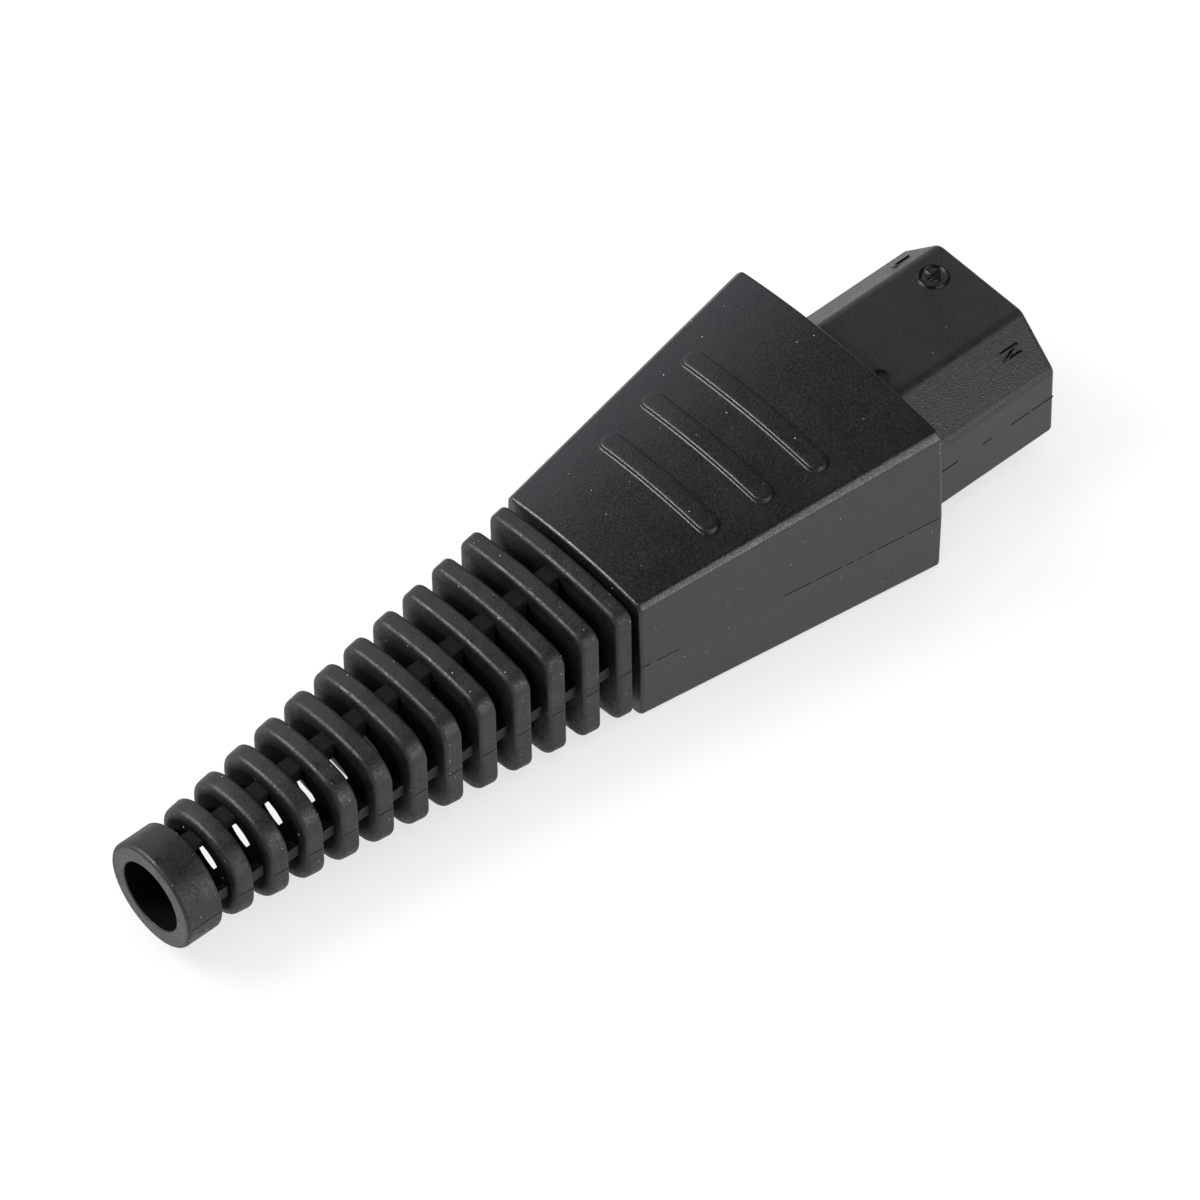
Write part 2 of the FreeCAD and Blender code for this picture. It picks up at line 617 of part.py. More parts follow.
def make_retainer():
    # an angle that closes the chambers behind and above, with wire holes and screwdriver holes
    body = new_body("terminal_retainer")
    rear = sketch_on(body, "retainer_rear", "XY_Plane", tray_top)
    carrier_plan(rear, retainer_rear, chamber_rear)
    extrude(body, "Pad", rear, f"{chamber_top} + retainer_wall - {tray_top}")
    plate = sketch_on(body, "retainer_plate", "XY_Plane", chamber_top)
    carrier_plan(plate, retainer_rear, terminal_front)
    extrude(body, "Pad", plate, "retainer_wall")
    wires = sketch_on(body, "wire_holes", "YZ_Plane", retainer_rear)
    drivers = sketch_on(body, "driver_holes", "XY_Plane", f"{chamber_top} + retainer_wall")
    for y, _ in poles.values():
        circle(wires, y, "axis_height", "wire_hole / 2")
        circle(drivers, terminal_middle, y, "driver_hole / 2")
    extrude(body, "Pocket", wires, "retainer_wall", reverse=True)
    extrude(body, "Pocket", drivers, "retainer_wall")
    return body


def make_contact(pole, y, height):
    # two leaves folded from one strip, closed behind, that narrow to a throat and flare at the mouth
    body = new_body(f"{pole}_contact")
    width = formula("contact_width / 2")
    throat = formula("contact_throat / 2")
    mouth = formula("contact_mouth / 2")
    throat_end = formula(f"{contact_length} - mouth_length")
    throat_start = formula(f"{throat_end} - throat_length")
    sketch = sketch_on(body, f"{pole}_leaf", "XY_Plane", "-contact_height / 2")
    outline(sketch, [
        ("0", "0"), ("contact_strip", "0"), ("contact_strip", f"{width} - contact_strip"),
        ("contact_straight", f"{width} - contact_strip"), (throat_start, throat), (throat_end, throat),
        (contact_length, mouth), (contact_length, f"{mouth} + contact_strip"),
        (throat_end, f"{throat} + contact_strip"), (throat_start, f"{throat} + contact_strip"),
        ("contact_straight", width), ("0", width),
    ])
    leaf = extrude(body, "Pad", sketch, "contact_height")
    plane = next(item for item in body.Origin.OriginFeatures if item.Role == "XZ_Plane")
    pair = body.newObject("PartDesign::Mirrored", f"{pole}_leaves")
    pair.Originals = [leaf]
    pair.MirrorPlane = (plane, [""])
    body.Tip = pair
    place(body, terminal_front, y, f"axis_height + {height}")
    return body


def make_spring(pole, y, height):
    # a band round both leaves at the throat, slit below so that it can spring
    body = new_body(f"{pole}_spring")
    inner = formula("contact_throat / 2 + contact_strip + spring_gap")
    tall = formula("contact_height / 2 + spring_gap")
    slit = formula("spring_slit / 2")
    sketch = sketch_on(body, f"{pole}_band", "YZ_Plane")
    outline(sketch, [
        (slit, f"-{tall} - spring_strip"), (f"{inner} + spring_strip", f"-{tall} - spring_strip"),
        (f"{inner} + spring_strip", f"{tall} + spring_strip"),
        (f"-{inner} - spring_strip", f"{tall} + spring_strip"),
        (f"-{inner} - spring_strip", f"-{tall} - spring_strip"), (f"-{slit}", f"-{tall} - spring_strip"),
        (f"-{slit}", f"-{tall}"), (f"-{inner}", f"-{tall}"), (f"-{inner}", tall),
        (inner, tall), (inner, f"-{tall}"), (slit, f"-{tall}"),
    ])
    extrude(body, "Pad", sketch, "spring_length")
    middle = formula(f"{terminal_front} + {contact_length} - mouth_length - throat_length / 2")
    place(body, f"{middle} - spring_length / 2", y, f"axis_height + {height}")
    return body


def make_terminal(pole, y):
    # a brass block with a wire hole along X and a threaded hole down into it
    body = new_body(f"{pole}_terminal")
    block = sketch_on(body, f"{pole}_block", "YZ_Plane")
    half = formula("terminal_width / 2")
    rectangle(block, f"-{half}", "-terminal_height / 2", half, "terminal_height / 2")
    extrude(body, "Pad", block, "terminal_length")
    wire = sketch_on(body, f"{pole}_wire_hole", "YZ_Plane")
    circle(wire, "0", "0", "wire_hole / 2")
    extrude(body, "Pocket", wire, "terminal_length", reverse=True)
    thread = sketch_on(body, f"{pole}_thread", "XY_Plane", "terminal_height / 2")
    circle(thread, "terminal_length / 2", "0", "terminal_thread / 2 + thread_gap")
    extrude(body, "Pocket", thread, "terminal_height / 2")
    place(body, terminal_rear, y, "axis_height")
    return body


def make_screw(label, profile, slot_width):
    # a turned screw about Z with its head's top at z = 0, slotted across the head
    body = new_body(label)
    sketch = sketch_on(body, f"{label}_profile", "XZ_Plane")
    outline(sketch, profile)
    revolve(body, "Revolution", sketch)
    slot = sketch_on(body, f"{label}_slot", "XY_Plane")
    rectangle(slot, f"-{slot_width}", "-slot_blade / 2", slot_width, "slot_blade / 2")
    extrude(body, "Pocket", slot, "slot_depth")
    return body


def cheese_head(thread, head, head_height, length):
    # half profile of a flat-topped round head on a plain shank
    tip = formula(f"-{head_height} - {length}")
    return [
        ("0", tip), (f"{thread} / 2", tip), (f"{thread} / 2", f"-{head_height}"),
        (f"{head} / 2", f"-{head_height}"), (f"{head} / 2", "0"), ("0", "0"),
    ]


def countersunk_head(thread, head, length):
    tip = formula(f"-{length}")
    return [
        ("0", tip), (f"{thread} / 2", tip), (f"{thread} / 2", f"({thread} - {head}) / 2"),
        (f"{head} / 2", "0"), ("0", "0"),
    ]


def make_terminal_screws():
    # each screw's tip reaches into its block's wire hole
    screws = []
    length = formula("terminal_height / 2 - wire_hole / 4")
    for pole, (y, _) in poles.items():
        profile = cheese_head("terminal_thread", "terminal_head", "terminal_head_height", length)
        screw = make_screw(f"{pole}_screw", profile, "terminal_head")
        place(screw, terminal_middle, y, f"{terminal_top} + terminal_head_height")
        screws.append(screw)
    return group(screws)


def make_clamp_screws():
    screws = []
    length = formula(f"clamp_thickness + axis_height - {tray_top} - slot_depth")
    for name, side in (("left_clamp_screw", ""), ("right_clamp_screw", "-")):
        profile = cheese_head("clamp_thread", "clamp_head", "clamp_head_height", length)
        screw = make_screw(name, profile, "clamp_head")
        place(screw, clamp_middle, f"{side}{clamp_screw_y}",
              "axis_height + clamp_thickness + clamp_head_height")
        screws.append(screw)
    return group(screws)


def group(solids):
    compound = doc.addObject("Part::Compound", "fastener_group")
    compound.Links = solids
    return compound


def make_cord_clamp():
    # a saddle arched over the cable, with a flat ear on each post
    body = new_body("cord_clamp")
    outer = carrier_half(clamp_rear)
    arch = sketch_on(body, "arch", "YZ_Plane", clamp_rear)
    circle(arch, "0", "axis_height", "cable_bore / 2 + clamp_thickness")
    extrude(body, "Pad", arch, "clamp_length")
    ears = sketch_on(body, "ears", "YZ_Plane", clamp_rear)
    rectangle(ears, f"-{outer}", "axis_height", outer, "axis_height + clamp_thickness")
    extrude(body, "Pad", ears, "clamp_length")
    below = sketch_on(body, "below_ears", "YZ_Plane", clamp_rear)
    rectangle(below, f"-{outer}", "0", outer, "axis_height")
    extrude(body, "Pocket", below, "clamp_length", reverse=True)
    way = sketch_on(body, "arch_inside", "YZ_Plane", clamp_rear)
    circle(way, "0", "axis_height", "cable_bore / 2")
    extrude(body, "Pocket", way, "clamp_length", reverse=True)
    holes = sketch_on(body, "ear_holes", "XY_Plane", "axis_height + clamp_thickness")
    for side in ("", "-"):
        circle(holes, clamp_middle, f"{side}{clamp_screw_y}", "clamp_thread / 2 + thread_gap")
    extrude(body, "Pocket", holes, "clamp_thickness")
    return body


def make_threaded_insert():
    body = new_body("threaded_insert")
    ring = sketch_on(body, "insert_ring", "XY_Plane")
    circle(ring, "0", "0", insert_radius)
    circle(ring, "0", "0", "cover_thread / 2 + thread_gap")
    extrude(body, "Pad", ring, "insert_length")
    place(body, cover_screw_x, "0", tray_top)
    return body


def make_cover_screw():
    # driven upwards from below the cover, so it is turned over
    length = formula(f"{tray_top} + insert_length - cover_head_sink - slot_depth")
    screw = make_screw("cover_screw", countersunk_head("cover_thread", "cover_head", length), "cover_head")
    screw.Placement = FreeCAD.Placement(FreeCAD.Vector(), FreeCAD.Rotation(FreeCAD.Vector(1, 0, 0), 180))
    place(screw, cover_screw_x, "0", "cover_head_sink")
    return screw


sub_parts = {
    "cover": make_cover(),
    "bend_relief_boot": make_boot(),
    "socket_insert": make_socket_insert(),
    "terminal_retainer": make_retainer(),
    "terminal_screws": make_terminal_screws(),
    "cord_clamp": make_cord_clamp(),
    "cord_clamp_screws": make_clamp_screws(),
    "threaded_insert": make_threaded_insert(),
    "cover_screw": make_cover_screw(),
}
for pole, (y, height) in poles.items():
    sub_parts[f"{pole}_contact"] = make_contact(pole, y, height)
    sub_parts[f"{pole}_spring"] = make_spring(pole, y, height)
    sub_parts[f"{pole}_terminal"] = make_terminal(pole, y)
for label, item in sub_parts.items():
    item.Label = label
doc.recompute()

for item in doc.Objects:
    if "Invalid" in item.State or "Error" in item.State:
        raise RuntimeError(f"{item.Label} failed to build: {item.State}")
    if item.TypeId in ("PartDesign::Pocket", "PartDesign::Groove", "PartDesign::SubtractiveLoft"):
        if item.Shape.Volume > item.BaseFeature.Shape.Volume - least_cut:
            raise RuntimeError(f"{item.Label} cuts nothing")
for label, item in sub_parts.items():
    if item.Shape.isNull() or not item.Shape.isValid():
        raise RuntimeError(f"{label} has no valid shape")

os.makedirs("parts", exist_ok=True)
for label, item in sub_parts.items():
    item.Shape.exportStep(f"parts/{label}.step")
    print(f"{label}: {len(item.Shape.Solids)} solid, {item.Shape.Volume:.1f} mm3")
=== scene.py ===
import math

import bmesh
import bpy
import numpy as np
from mathutils import Matrix, Vector


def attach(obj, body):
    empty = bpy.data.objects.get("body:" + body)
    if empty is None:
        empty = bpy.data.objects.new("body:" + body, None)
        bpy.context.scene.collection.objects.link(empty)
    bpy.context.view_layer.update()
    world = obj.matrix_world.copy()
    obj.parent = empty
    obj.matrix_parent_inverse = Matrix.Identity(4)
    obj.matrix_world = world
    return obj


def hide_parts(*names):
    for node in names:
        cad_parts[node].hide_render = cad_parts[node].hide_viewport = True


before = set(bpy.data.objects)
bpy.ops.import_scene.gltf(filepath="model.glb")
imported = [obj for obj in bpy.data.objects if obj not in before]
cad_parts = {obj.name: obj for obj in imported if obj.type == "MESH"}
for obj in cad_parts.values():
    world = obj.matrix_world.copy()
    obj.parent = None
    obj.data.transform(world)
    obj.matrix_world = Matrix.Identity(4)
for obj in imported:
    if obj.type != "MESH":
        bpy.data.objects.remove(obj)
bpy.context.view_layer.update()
mm = 0.001  # shapes are worked out in millimetres, in the CAD's own frame, and scaled on the way into a mesh
axisHeight = 8.5  # cable axis and mould line above the table
weld = 1e-7  # points closer than this, in metres, become one
shading = {"sharpAngle": 32, "flatWeight": 90, "cadSharpAngle": 25, "cadFlatWeight": 50}  # degrees, per cent


def linear(hexColour):
    # sRGB hex to linear light, channel by channel
    channels = np.array([int(hexColour[i:i + 2], 16) for i in (1, 3, 5)]) / 255
    light = np.where(channels <= 0.04045, channels / 12.92, ((channels + 0.055) / 1.055) ** 2.4)
    return (*light.tolist(), 1.0)


def addNode(tree, kind, settings=None, links=None):
    # settings go to the node's properties, or to its inputs by name or number; links feed its inputs
    node = tree.nodes.new(kind)
    for key, value in (settings or {}).items():
        if isinstance(key, str) and hasattr(node, key):
            setattr(node, key, value)
        else:
            node.inputs[key].default_value = value
    for key, source in (links or {}).items():
        tree.links.new(source, node.inputs[key])
    return node


def perMillimetre(size):
    # texture scale whose pattern repeats about once in size millimetres
    return 1 / (size * mm)


def newMaterial(name):
    material = bpy.data.materials.new(name)
    material.use_nodes = True
    material.node_tree.nodes.clear()
    return material, material.node_tree


def finishMaterial(tree, shader):
    addNode(tree, "ShaderNodeOutputMaterial", links={"Surface": shader.outputs[0]})


def gridFaces(rows, columns, closed):
    # quads of a grid of points; columns always join up, rows only where closed
    last = rows if closed else rows - 1
    row, column = np.meshgrid(np.arange(last), np.arange(columns), indexing="ij")
    nextRow, nextColumn = (row + 1) % rows, (column + 1) % columns
    corners = [row * columns + column, row * columns + nextColumn,
               nextRow * columns + nextColumn, nextRow * columns + column]
    return np.stack(corners, -1).reshape(-1, 4)


def shell(points, closed=True, looks=0):
    # a grid of points, rows by columns by xyz, with its quads and the material number of each row of quads;
    # an open one has ends that close in a point or line
    rows, columns, _ = points.shape
    quads = gridFaces(rows, columns, closed)
    return points.reshape(-1, 3), quads, np.repeat(np.broadcast_to(looks, len(quads) // columns), columns)


def makePiece(name, shells, *materials):
    # joins shells into one object, closes their seams and poles, and turns all faces outwards
    counts = np.cumsum([0] + [len(points) for points, _, _ in shells])
    points = np.concatenate([points for points, _, _ in shells]) * mm
    faces = np.concatenate([quads + start for (_, quads, _), start in zip(shells, counts)])
    looks = np.concatenate([numbers for _, _, numbers in shells])
    mesh = bpy.data.meshes.new(name)
    mesh.from_pydata(points.tolist(), [], faces.tolist())
    for material in materials:
        mesh.materials.append(material)
    mesh.polygons.foreach_set("material_index", looks.astype(np.int32))
    work = bmesh.new()
    work.from_mesh(mesh)
    bmesh.ops.remove_doubles(work, verts=work.verts, dist=weld)
    bmesh.ops.dissolve_degenerate(work, edges=work.edges, dist=weld / 10)
    bmesh.ops.recalc_face_normals(work, faces=work.faces)
    work.to_mesh(mesh)
    work.free()
    piece = bpy.data.objects.new(name, mesh)
    bpy.context.scene.collection.objects.link(piece)
    return piece


def combine(piece, tool, operation):
    # an exact boolean whose result becomes the piece's own mesh; the tool is deleted
    modifier = piece.modifiers.new(operation.lower(), "BOOLEAN")
    modifier.operation = operation
    modifier.solver = "EXACT"
    modifier.use_self = True
    modifier.object = tool
    bpy.context.view_layer.update()
    result = bpy.data.meshes.new_from_object(piece.evaluated_get(bpy.context.evaluated_depsgraph_get()))
    before, toolMesh = piece.data, tool.data
    piece.modifiers.clear()
    piece.data = result
    result.name = piece.name
    bpy.data.objects.remove(tool)
    bpy.data.meshes.remove(before)
    bpy.data.meshes.remove(toolMesh)


def keepFlats(piece, weight):
    # weighted normals: large faces pull the shading their way, so that flats stay flat beside small rounds
    flats = piece.modifiers.new("flats", "WEIGHTED_NORMAL")
    flats.keep_sharp = True
    flats.weight = weight


def finishShading(piece):
    # smooth surfaces, sharp where faces meet at more than the sharp angle
    piece.data.shade_smooth()
    piece.data.set_sharp_from_angle(angle=math.radians(shading["sharpAngle"]))
    keepFlats(piece, shading["flatWeight"])


def dress(piece, slotName, *nodes):
    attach(piece, "root")
    if nodes:
        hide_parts(*nodes)


def arcPoints(centre, radius, start, end, count):
    # points along an arc from one angle towards the other, the last one left to the next edge
    angle = np.linspace(start, end, count, endpoint=False)
    return np.stack([centre[0] + radius * np.cos(angle), centre[1] + radius * np.sin(angle)], -1)


def linePoints(start, end, count):
    # evenly spaced points from start towards end, the last one left to the next edge
    share = np.linspace(0, 1, count, endpoint=False)[:, None]
    return np.array(start) + share * (np.array(end) - np.array(start))


def markShell(rows, place, closed=False):
    # rows of points in a mark's own frame, along its reading line, up and out, carried to its place
    origin, reading, up = place
    out = np.cross(reading, up)
    return shell(origin + rows[..., :1] * reading + rows[..., 1:2] * up + rows[..., 2:] * out, closed)


def withHeight(plan, profile):
    # rows of plan points, each row at the height of its profile point
    return np.concatenate([plan, np.broadcast_to(profile[:, 1, None, None], plan.shape[:2] + (1,))], -1)


def ridgeProfile(line):
    # distance from the middle line and height of a raised line: sunk foot, hollow foot fillet, wall, rounded
    # edge and flat top
    half, height, topRound, footRound = line["half"], line["height"], line["topRound"], line["footRound"]
    turn = np.linspace(0, math.pi / 2, line["steps"])
    foot = np.stack([half + footRound * (1 - np.sin(turn)), footRound * (1 - np.cos(turn))], -1)
    edge = np.stack([half - topRound * (1 - np.cos(turn)), height - topRound * (1 - np.sin(turn))], -1)
    ends = np.array([[0, -line["sink"]], [half + footRound, -line["sink"]]])
    return np.concatenate([ends, foot, edge, [[(half - topRound) / 2, height], [0, height]]])


def ridgeRows(start, end, profile, endPoints, sidePoints=0):
    # a line from start to end with round ends: plan offsets follow a stadium round the middle line, with
    # some points on its straight sides where the surface under it is curved
    start, end = np.array(start, float), np.array(end, float)
    along = (end - start) / np.linalg.norm(end - start)
    across = np.array([-along[1], along[0]])
    turn = np.linspace(-math.pi / 2, math.pi / 2, endPoints)
    side = np.full(sidePoints, math.pi / 2)
    share = np.linspace(0, 1, sidePoints + 2)[1:-1]
    angle = np.concatenate([turn, side, turn + math.pi, -side])
    shift = np.concatenate([np.ones(endPoints), 1 - share, np.zeros(endPoints), share])
    middle = start + shift[:, None] * (end - start)
    outward = np.cos(angle)[:, None] * along + np.sin(angle)[:, None] * across
    return withHeight(middle + profile[:, 0, None, None] * outward, profile)


# Mould line: where the mould halves met, broken dashes at the axis height, cut as fine grooves
mouldLine = {
    "half": 0.07, "depth": 0.09, "above": 0.06, "endPoints": 5,
    "collarStart": 0.4,  # the collar's groove starts this far from its end face
    "coverDashes": (
        (0.0, 1.0), (1.9, 2.9), (3.1, 3.9), (4.2, 4.6), (18.1, 21.6), (22.0, 25.4), (26.0, 26.8),
        (27.4, 28.0), (28.7, 29.4), (29.9, 33.4), (33.8, 37.9)),
}


def grooveShell(start, end, half, slope, side):
    # cutter for one groove along a side that widens by slope from a half width at X = 0: a trough with
    # round ends, which reaches a little above the surface
    middle = (start + end) / 2
    origin = np.array([middle, side * (half + slope * middle), axisHeight])
    reading = np.array([-side, -slope, 0.0]) / math.hypot(1, slope)
    wide, deep, above = mouldLine["half"], mouldLine["depth"], mouldLine["above"]
    profile = np.array([(0, -deep), (wide / 2, -deep), (wide, 0), (wide, above), (0, above)])
    reach = (end - start) / 2
    rows = ridgeRows((-reach, 0), (reach, 0), profile, mouldLine["endPoints"])
    return markShell(rows, (origin, reading, np.array([0.0, 0.0, 1.0])))


# Materials
noiseSpan = {"From Min": 0.3, "From Max": 0.7}  # most of a noise texture's values lie in here


def mouldedPlastic(name, look):
    # a dark body under a thin grey sheen: the grain of the spark-eroded mould breaks the sheen up, clouds of
    # handling and age vary the tone, and a few pale specks of dust lie on it; a Mix node's colours are its
    # inputs 6 and 7 and its output 2
    material, tree = newMaterial(name)
    place = addNode(tree, "ShaderNodeTexCoord").outputs["Object"]
    grain = addNode(tree, "ShaderNodeTexNoise",
                    {"Scale": perMillimetre(look["grain"]), "Detail": 3.0, "Roughness": 0.6},
                    {"Vector": place})
    cloud = addNode(tree, "ShaderNodeTexNoise", {"Scale": perMillimetre(look["cloud"]), "Detail": 3.0},
                    {"Vector": place})
    tone = addNode(tree, "ShaderNodeMix",
                   {"data_type": "RGBA", 6: linear(look["dark"]), 7: linear(look["pale"])},
                   {0: cloud.outputs[0]})
    # dust: round dots of mixed sizes, one in some cells only
    cells = addNode(tree, "ShaderNodeTexVoronoi", {"Scale": perMillimetre(look["dustSpacing"])},
                    {"Vector": place})
    lot = addNode(tree, "ShaderNodeSeparateColor", links={0: cells.outputs["Color"]})
    size = addNode(tree, "ShaderNodeMath",
                   {"operation": "MULTIPLY", 1: look["dustSize"] / look["dustSpacing"]}, {0: lot.outputs[1]})
    dot = addNode(tree, "ShaderNodeMath", {"operation": "LESS_THAN"},
                  {0: cells.outputs["Distance"], 1: size.outputs[0]})
    drawn = addNode(tree, "ShaderNodeMath", {"operation": "LESS_THAN", 1: look["dustShare"]},
                    {0: lot.outputs[0]})
    dust = addNode(tree, "ShaderNodeMath", {"operation": "MULTIPLY"},
                   {0: dot.outputs[0], 1: drawn.outputs[0]})
    dusty = addNode(tree, "ShaderNodeMix", {"data_type": "RGBA", 7: linear(look["dustColour"])},
                    {0: dust.outputs[0], 6: tone.outputs[2]})
    # sheen: uneven from patch to patch, and again from grain to grain
    rough, patch, fleck = look["roughness"], look["patchVary"], look["grainVary"]
    patchy = addNode(tree, "ShaderNodeMapRange",
                     {**noiseSpan, "clamp": False, "To Min": rough - patch, "To Max": rough + patch},
                     {"Value": cloud.outputs[0]})
    fine = addNode(tree, "ShaderNodeMapRange", {**noiseSpan, "To Min": -fleck, "To Max": fleck},
                   {"Value": grain.outputs[0]})
    gloss = addNode(tree, "ShaderNodeMath", {"operation": "ADD", "use_clamp": True},
                    {0: patchy.outputs[0], 1: fine.outputs[0]})
    bump = addNode(tree, "ShaderNodeBump", {"Strength": look["bump"], "Distance": look["bumpHeight"] * mm},
                   {"Height": grain.outputs[0]})
    shader = addNode(tree, "ShaderNodeBsdfPrincipled",
                     {"IOR": look["ior"], "Specular IOR Level": look["specular"]},
                     {"Base Color": dusty.outputs[2], "Roughness": gloss.outputs[0],
                      "Normal": bump.outputs[0]})
    finishMaterial(tree, shader)
    return material


coverLook = {
    "dark": "#0e0e0f", "pale": "#151516", "cloud": 5.0, "patchVary": 0.03,
    "grain": 0.28,  # real grain is about 0.1 mm, drawn coarser so that it shows
    "grainVary": 0.1, "bump": 0.5, "bumpHeight": 0.06, "roughness": 0.38, "ior": 1.53, "specular": 0.5,
    "dustSpacing": 0.9, "dustSize": 0.085, "dustShare": 0.22, "dustColour": "#a2a3a1",
}
noseLook = dict(coverLook, dark="#161617", pale="#1e1e1f", grain=0.2, bump=0.75, roughness=0.47,
                dustShare=0.2)
# nose's mould line: low flash, drawn dull and darker than what it stands on, as painted shade
mouldFlashShadeLook = dict(noseLook, dark="#030303", pale="#060606", roughness=0.7, specular=0.1, dustShare=0.0)
# raised signs come out of the mould polished, with small sharp highlights
# their dark colour is painted shade, for the shadows along their flanks
markShadeLook = dict(noseLook, dark="#070707", pale="#0c0c0c", bump=0.2, roughness=0.24, dustShare=0.0)
innerLook = dict(noseLook, roughness=0.5, dustShare=0.0)
rubberLook = dict(coverLook, dark="#080808", pale="#181818", cloud=2.2, patchVary=0.09, roughness=0.53,
                  ior=1.5, grainVary=0.14, bump=0.75, dustSpacing=0.7, dustSize=0.08, dustShare=0.6)
# painted shade: a ring's faces turn darker and duller in small steps from the rim down to the cable way
shadeSteps = 9
shadeRoughness = np.linspace(0.55, 0.75, shadeSteps).tolist()
shadeSpecular = np.linspace(0.46, 0.05, shadeSteps).tolist()
# painted shade: darker than the outer rubber, for the shade deep in the gaps
gapShadeLook = dict(rubberLook, dark="#030303", pale="#070707", dustShare=0.12)
# handling has rubbed the collar's end face smooth, so it shines more
endLook = dict(rubberLook, roughness=0.5, specular=0.85)


def plainMetal(name, look):
    # turned or pressed metal: coloured mirror gloss, broken by fine tool marks and a little dulling
    material, tree = newMaterial(name)
    place = addNode(tree, "ShaderNodeTexCoord").outputs["Object"]
    marks = addNode(tree, "ShaderNodeTexNoise", {"Scale": perMillimetre(look["marks"]), "Detail": 4.0},
                    {"Vector": place})
    tone = addNode(tree, "ShaderNodeMix",
                   {"data_type": "RGBA", 6: linear(look["dark"]), 7: linear(look["pale"])},
                   {0: marks.outputs[0]})
    gloss = addNode(tree, "ShaderNodeMapRange", {"To Min": look["roughMin"], "To Max": look["roughMax"]},
                    {"Value": marks.outputs[0]})
    bump = addNode(tree, "ShaderNodeBump", {"Strength": look["bump"], "Distance": look["bumpHeight"] * mm},
                   {"Height": marks.outputs[0]})
    shader = addNode(tree, "ShaderNodeBsdfPrincipled", {"Metallic": 1.0},
                     {"Base Color": tone.outputs[2], "Roughness": gloss.outputs[0],
                      "Normal": bump.outputs[0]})
    finishMaterial(tree, shader)
    return material


brassLook = {
    "dark": "#b08a44", "pale": "#d9b56a", "marks": 0.25, "roughMin": 0.22, "roughMax": 0.38,
    "bump": 0.15, "bumpHeight": 0.02,
}
steelLook = dict(brassLook, dark="#a9aaab", pale="#cfd0cf", marks=0.3, roughMin=0.25, roughMax=0.42)

coverPlastic = mouldedPlastic("black_nylon_grained_moulding", coverLook)
nosePlastic = mouldedPlastic("black_nylon_smooth_moulding", noseLook)
mouldFlashShadePlastic = mouldedPlastic("black_nylon_mould_flash_painted_shade", mouldFlashShadeLook)
markShadePlastic = mouldedPlastic("black_nylon_polished_marks_painted_shade", markShadeLook)
innerPlastic = mouldedPlastic("black_nylon_plain_moulding", innerLook)
bootRubbers = [mouldedPlastic("black_rubber_moulding", rubberLook)]
# one rubber for each step of painted shade on the gap faces
for number, (rough, sheen) in enumerate(zip(shadeRoughness, shadeSpecular), 1):
    look = dict(gapShadeLook, roughness=rough, specular=sheen)
    bootRubbers.append(mouldedPlastic(f"black_rubber_gap_painted_shade_{number}", look))
bootRubbers.append(mouldedPlastic("black_rubber_rubbed_end", endLook))
brass = plainMetal("brass_pressed_and_turned", brassLook)
steel = plainMetal("zinc_plated_steel", steelLook)
print("materials ready")


# Boot: rings, bridges, collar and neck, merged into one moulding
boot = {
    "reach": 59.0, "coverGap": 0.8, "firstRing": 2.1, "gapCount": 12, "ringGap": 2.2, "collarLength": 4.6,
    "first": {"half": 10.6, "rise": 10.1, "drop": 8.4, "crown": 64.0, "corner": 1.5},
    "last": {"half": 5.95, "rise": 5.95, "drop": 5.95, "crown": 7.75, "corner": 5.05},
    "sidePoints": 8, "cornerPoints": 12, "crownPoints": 22, "edgeRound": 0.48, "roundSteps": 6,
    "draft": 0.36,  # each ring is this much thicker, per face, at the cable way
    # where the painted shade on the ring faces starts and ends
    "shadeFade": (0.02, 0.4),  # first and last step, as shares of the way from a ring's rim to the cable way
    "bore": 4.3, "boreEdge": 0.15,
    "collarRadius": 6.45, "collarRound": 0.45, "collarEdge": 0.35, "collarSteps": 6, "collarPoints": 96,
    "bridgeWidth": 2.2, "bridgeHeight": 1.6, "bridgeRecess": 1.1, "bridgeRound": 0.18, "bridgeSink": 0.2,
    # the bridges stand deep in the gaps, so they take painted-shade rubbers of the gap faces
    "bridgeShadeLooks": (2, 6, 2, 6),  # rubber numbers of the far, top, near and bottom bridge
    "bridgeSteps": 4, "boreSteps": 9,
    "neckHalf": (7.4, 5.3), "neckCorner": 2.0, "neckSteps": 8, "neckSink": 0.3,
    "lip": 0.75, "flange": 1.8, "coverWall": 2.0,
}
collarFront = boot["collarLength"] - boot["reach"]
ringPitch = (-collarFront - boot["coverGap"] - boot["firstRing"] - boot["ringGap"]) / (boot["gapCount"] - 1)


def ringOutline(size):
    # crowned top and bottom, upright sides, and corner arcs tangent to both, anticlockwise about the axis:
    # a corner's centre lies where its arc touches the side and the crown's circle from inside
    half, corner, crown = size["half"], size["corner"], size["crown"]
    across = half - corner
    reach = math.sqrt((crown - corner) ** 2 - across ** 2)
    lean = math.atan2(reach, across)
    topCentre, bottomCentre = size["rise"] - crown, crown - size["drop"]
    high, low = topCentre + reach, bottomCentre - reach
    sides, corners, crowns = boot["sidePoints"], boot["cornerPoints"], boot["crownPoints"]
    return np.concatenate([
        linePoints((half, low), (half, high), sides),
        arcPoints((across, high), corner, 0, lean, corners),
        arcPoints((0, topCentre), crown, lean, math.pi - lean, crowns),
        arcPoints((-across, high), corner, math.pi - lean, math.pi, corners),
        linePoints((-half, high), (-half, low), sides),
        arcPoints((-across, low), corner, math.pi, math.pi + lean, corners),
        arcPoints((0, bottomCentre), crown, math.pi + lean, 2 * math.pi - lean, crowns),
        arcPoints((across, low), corner, 2 * math.pi - lean, 2 * math.pi, corners),
    ])


firstOutline = ringOutline(boot["first"])
lastOutline = ringOutline(boot["last"])


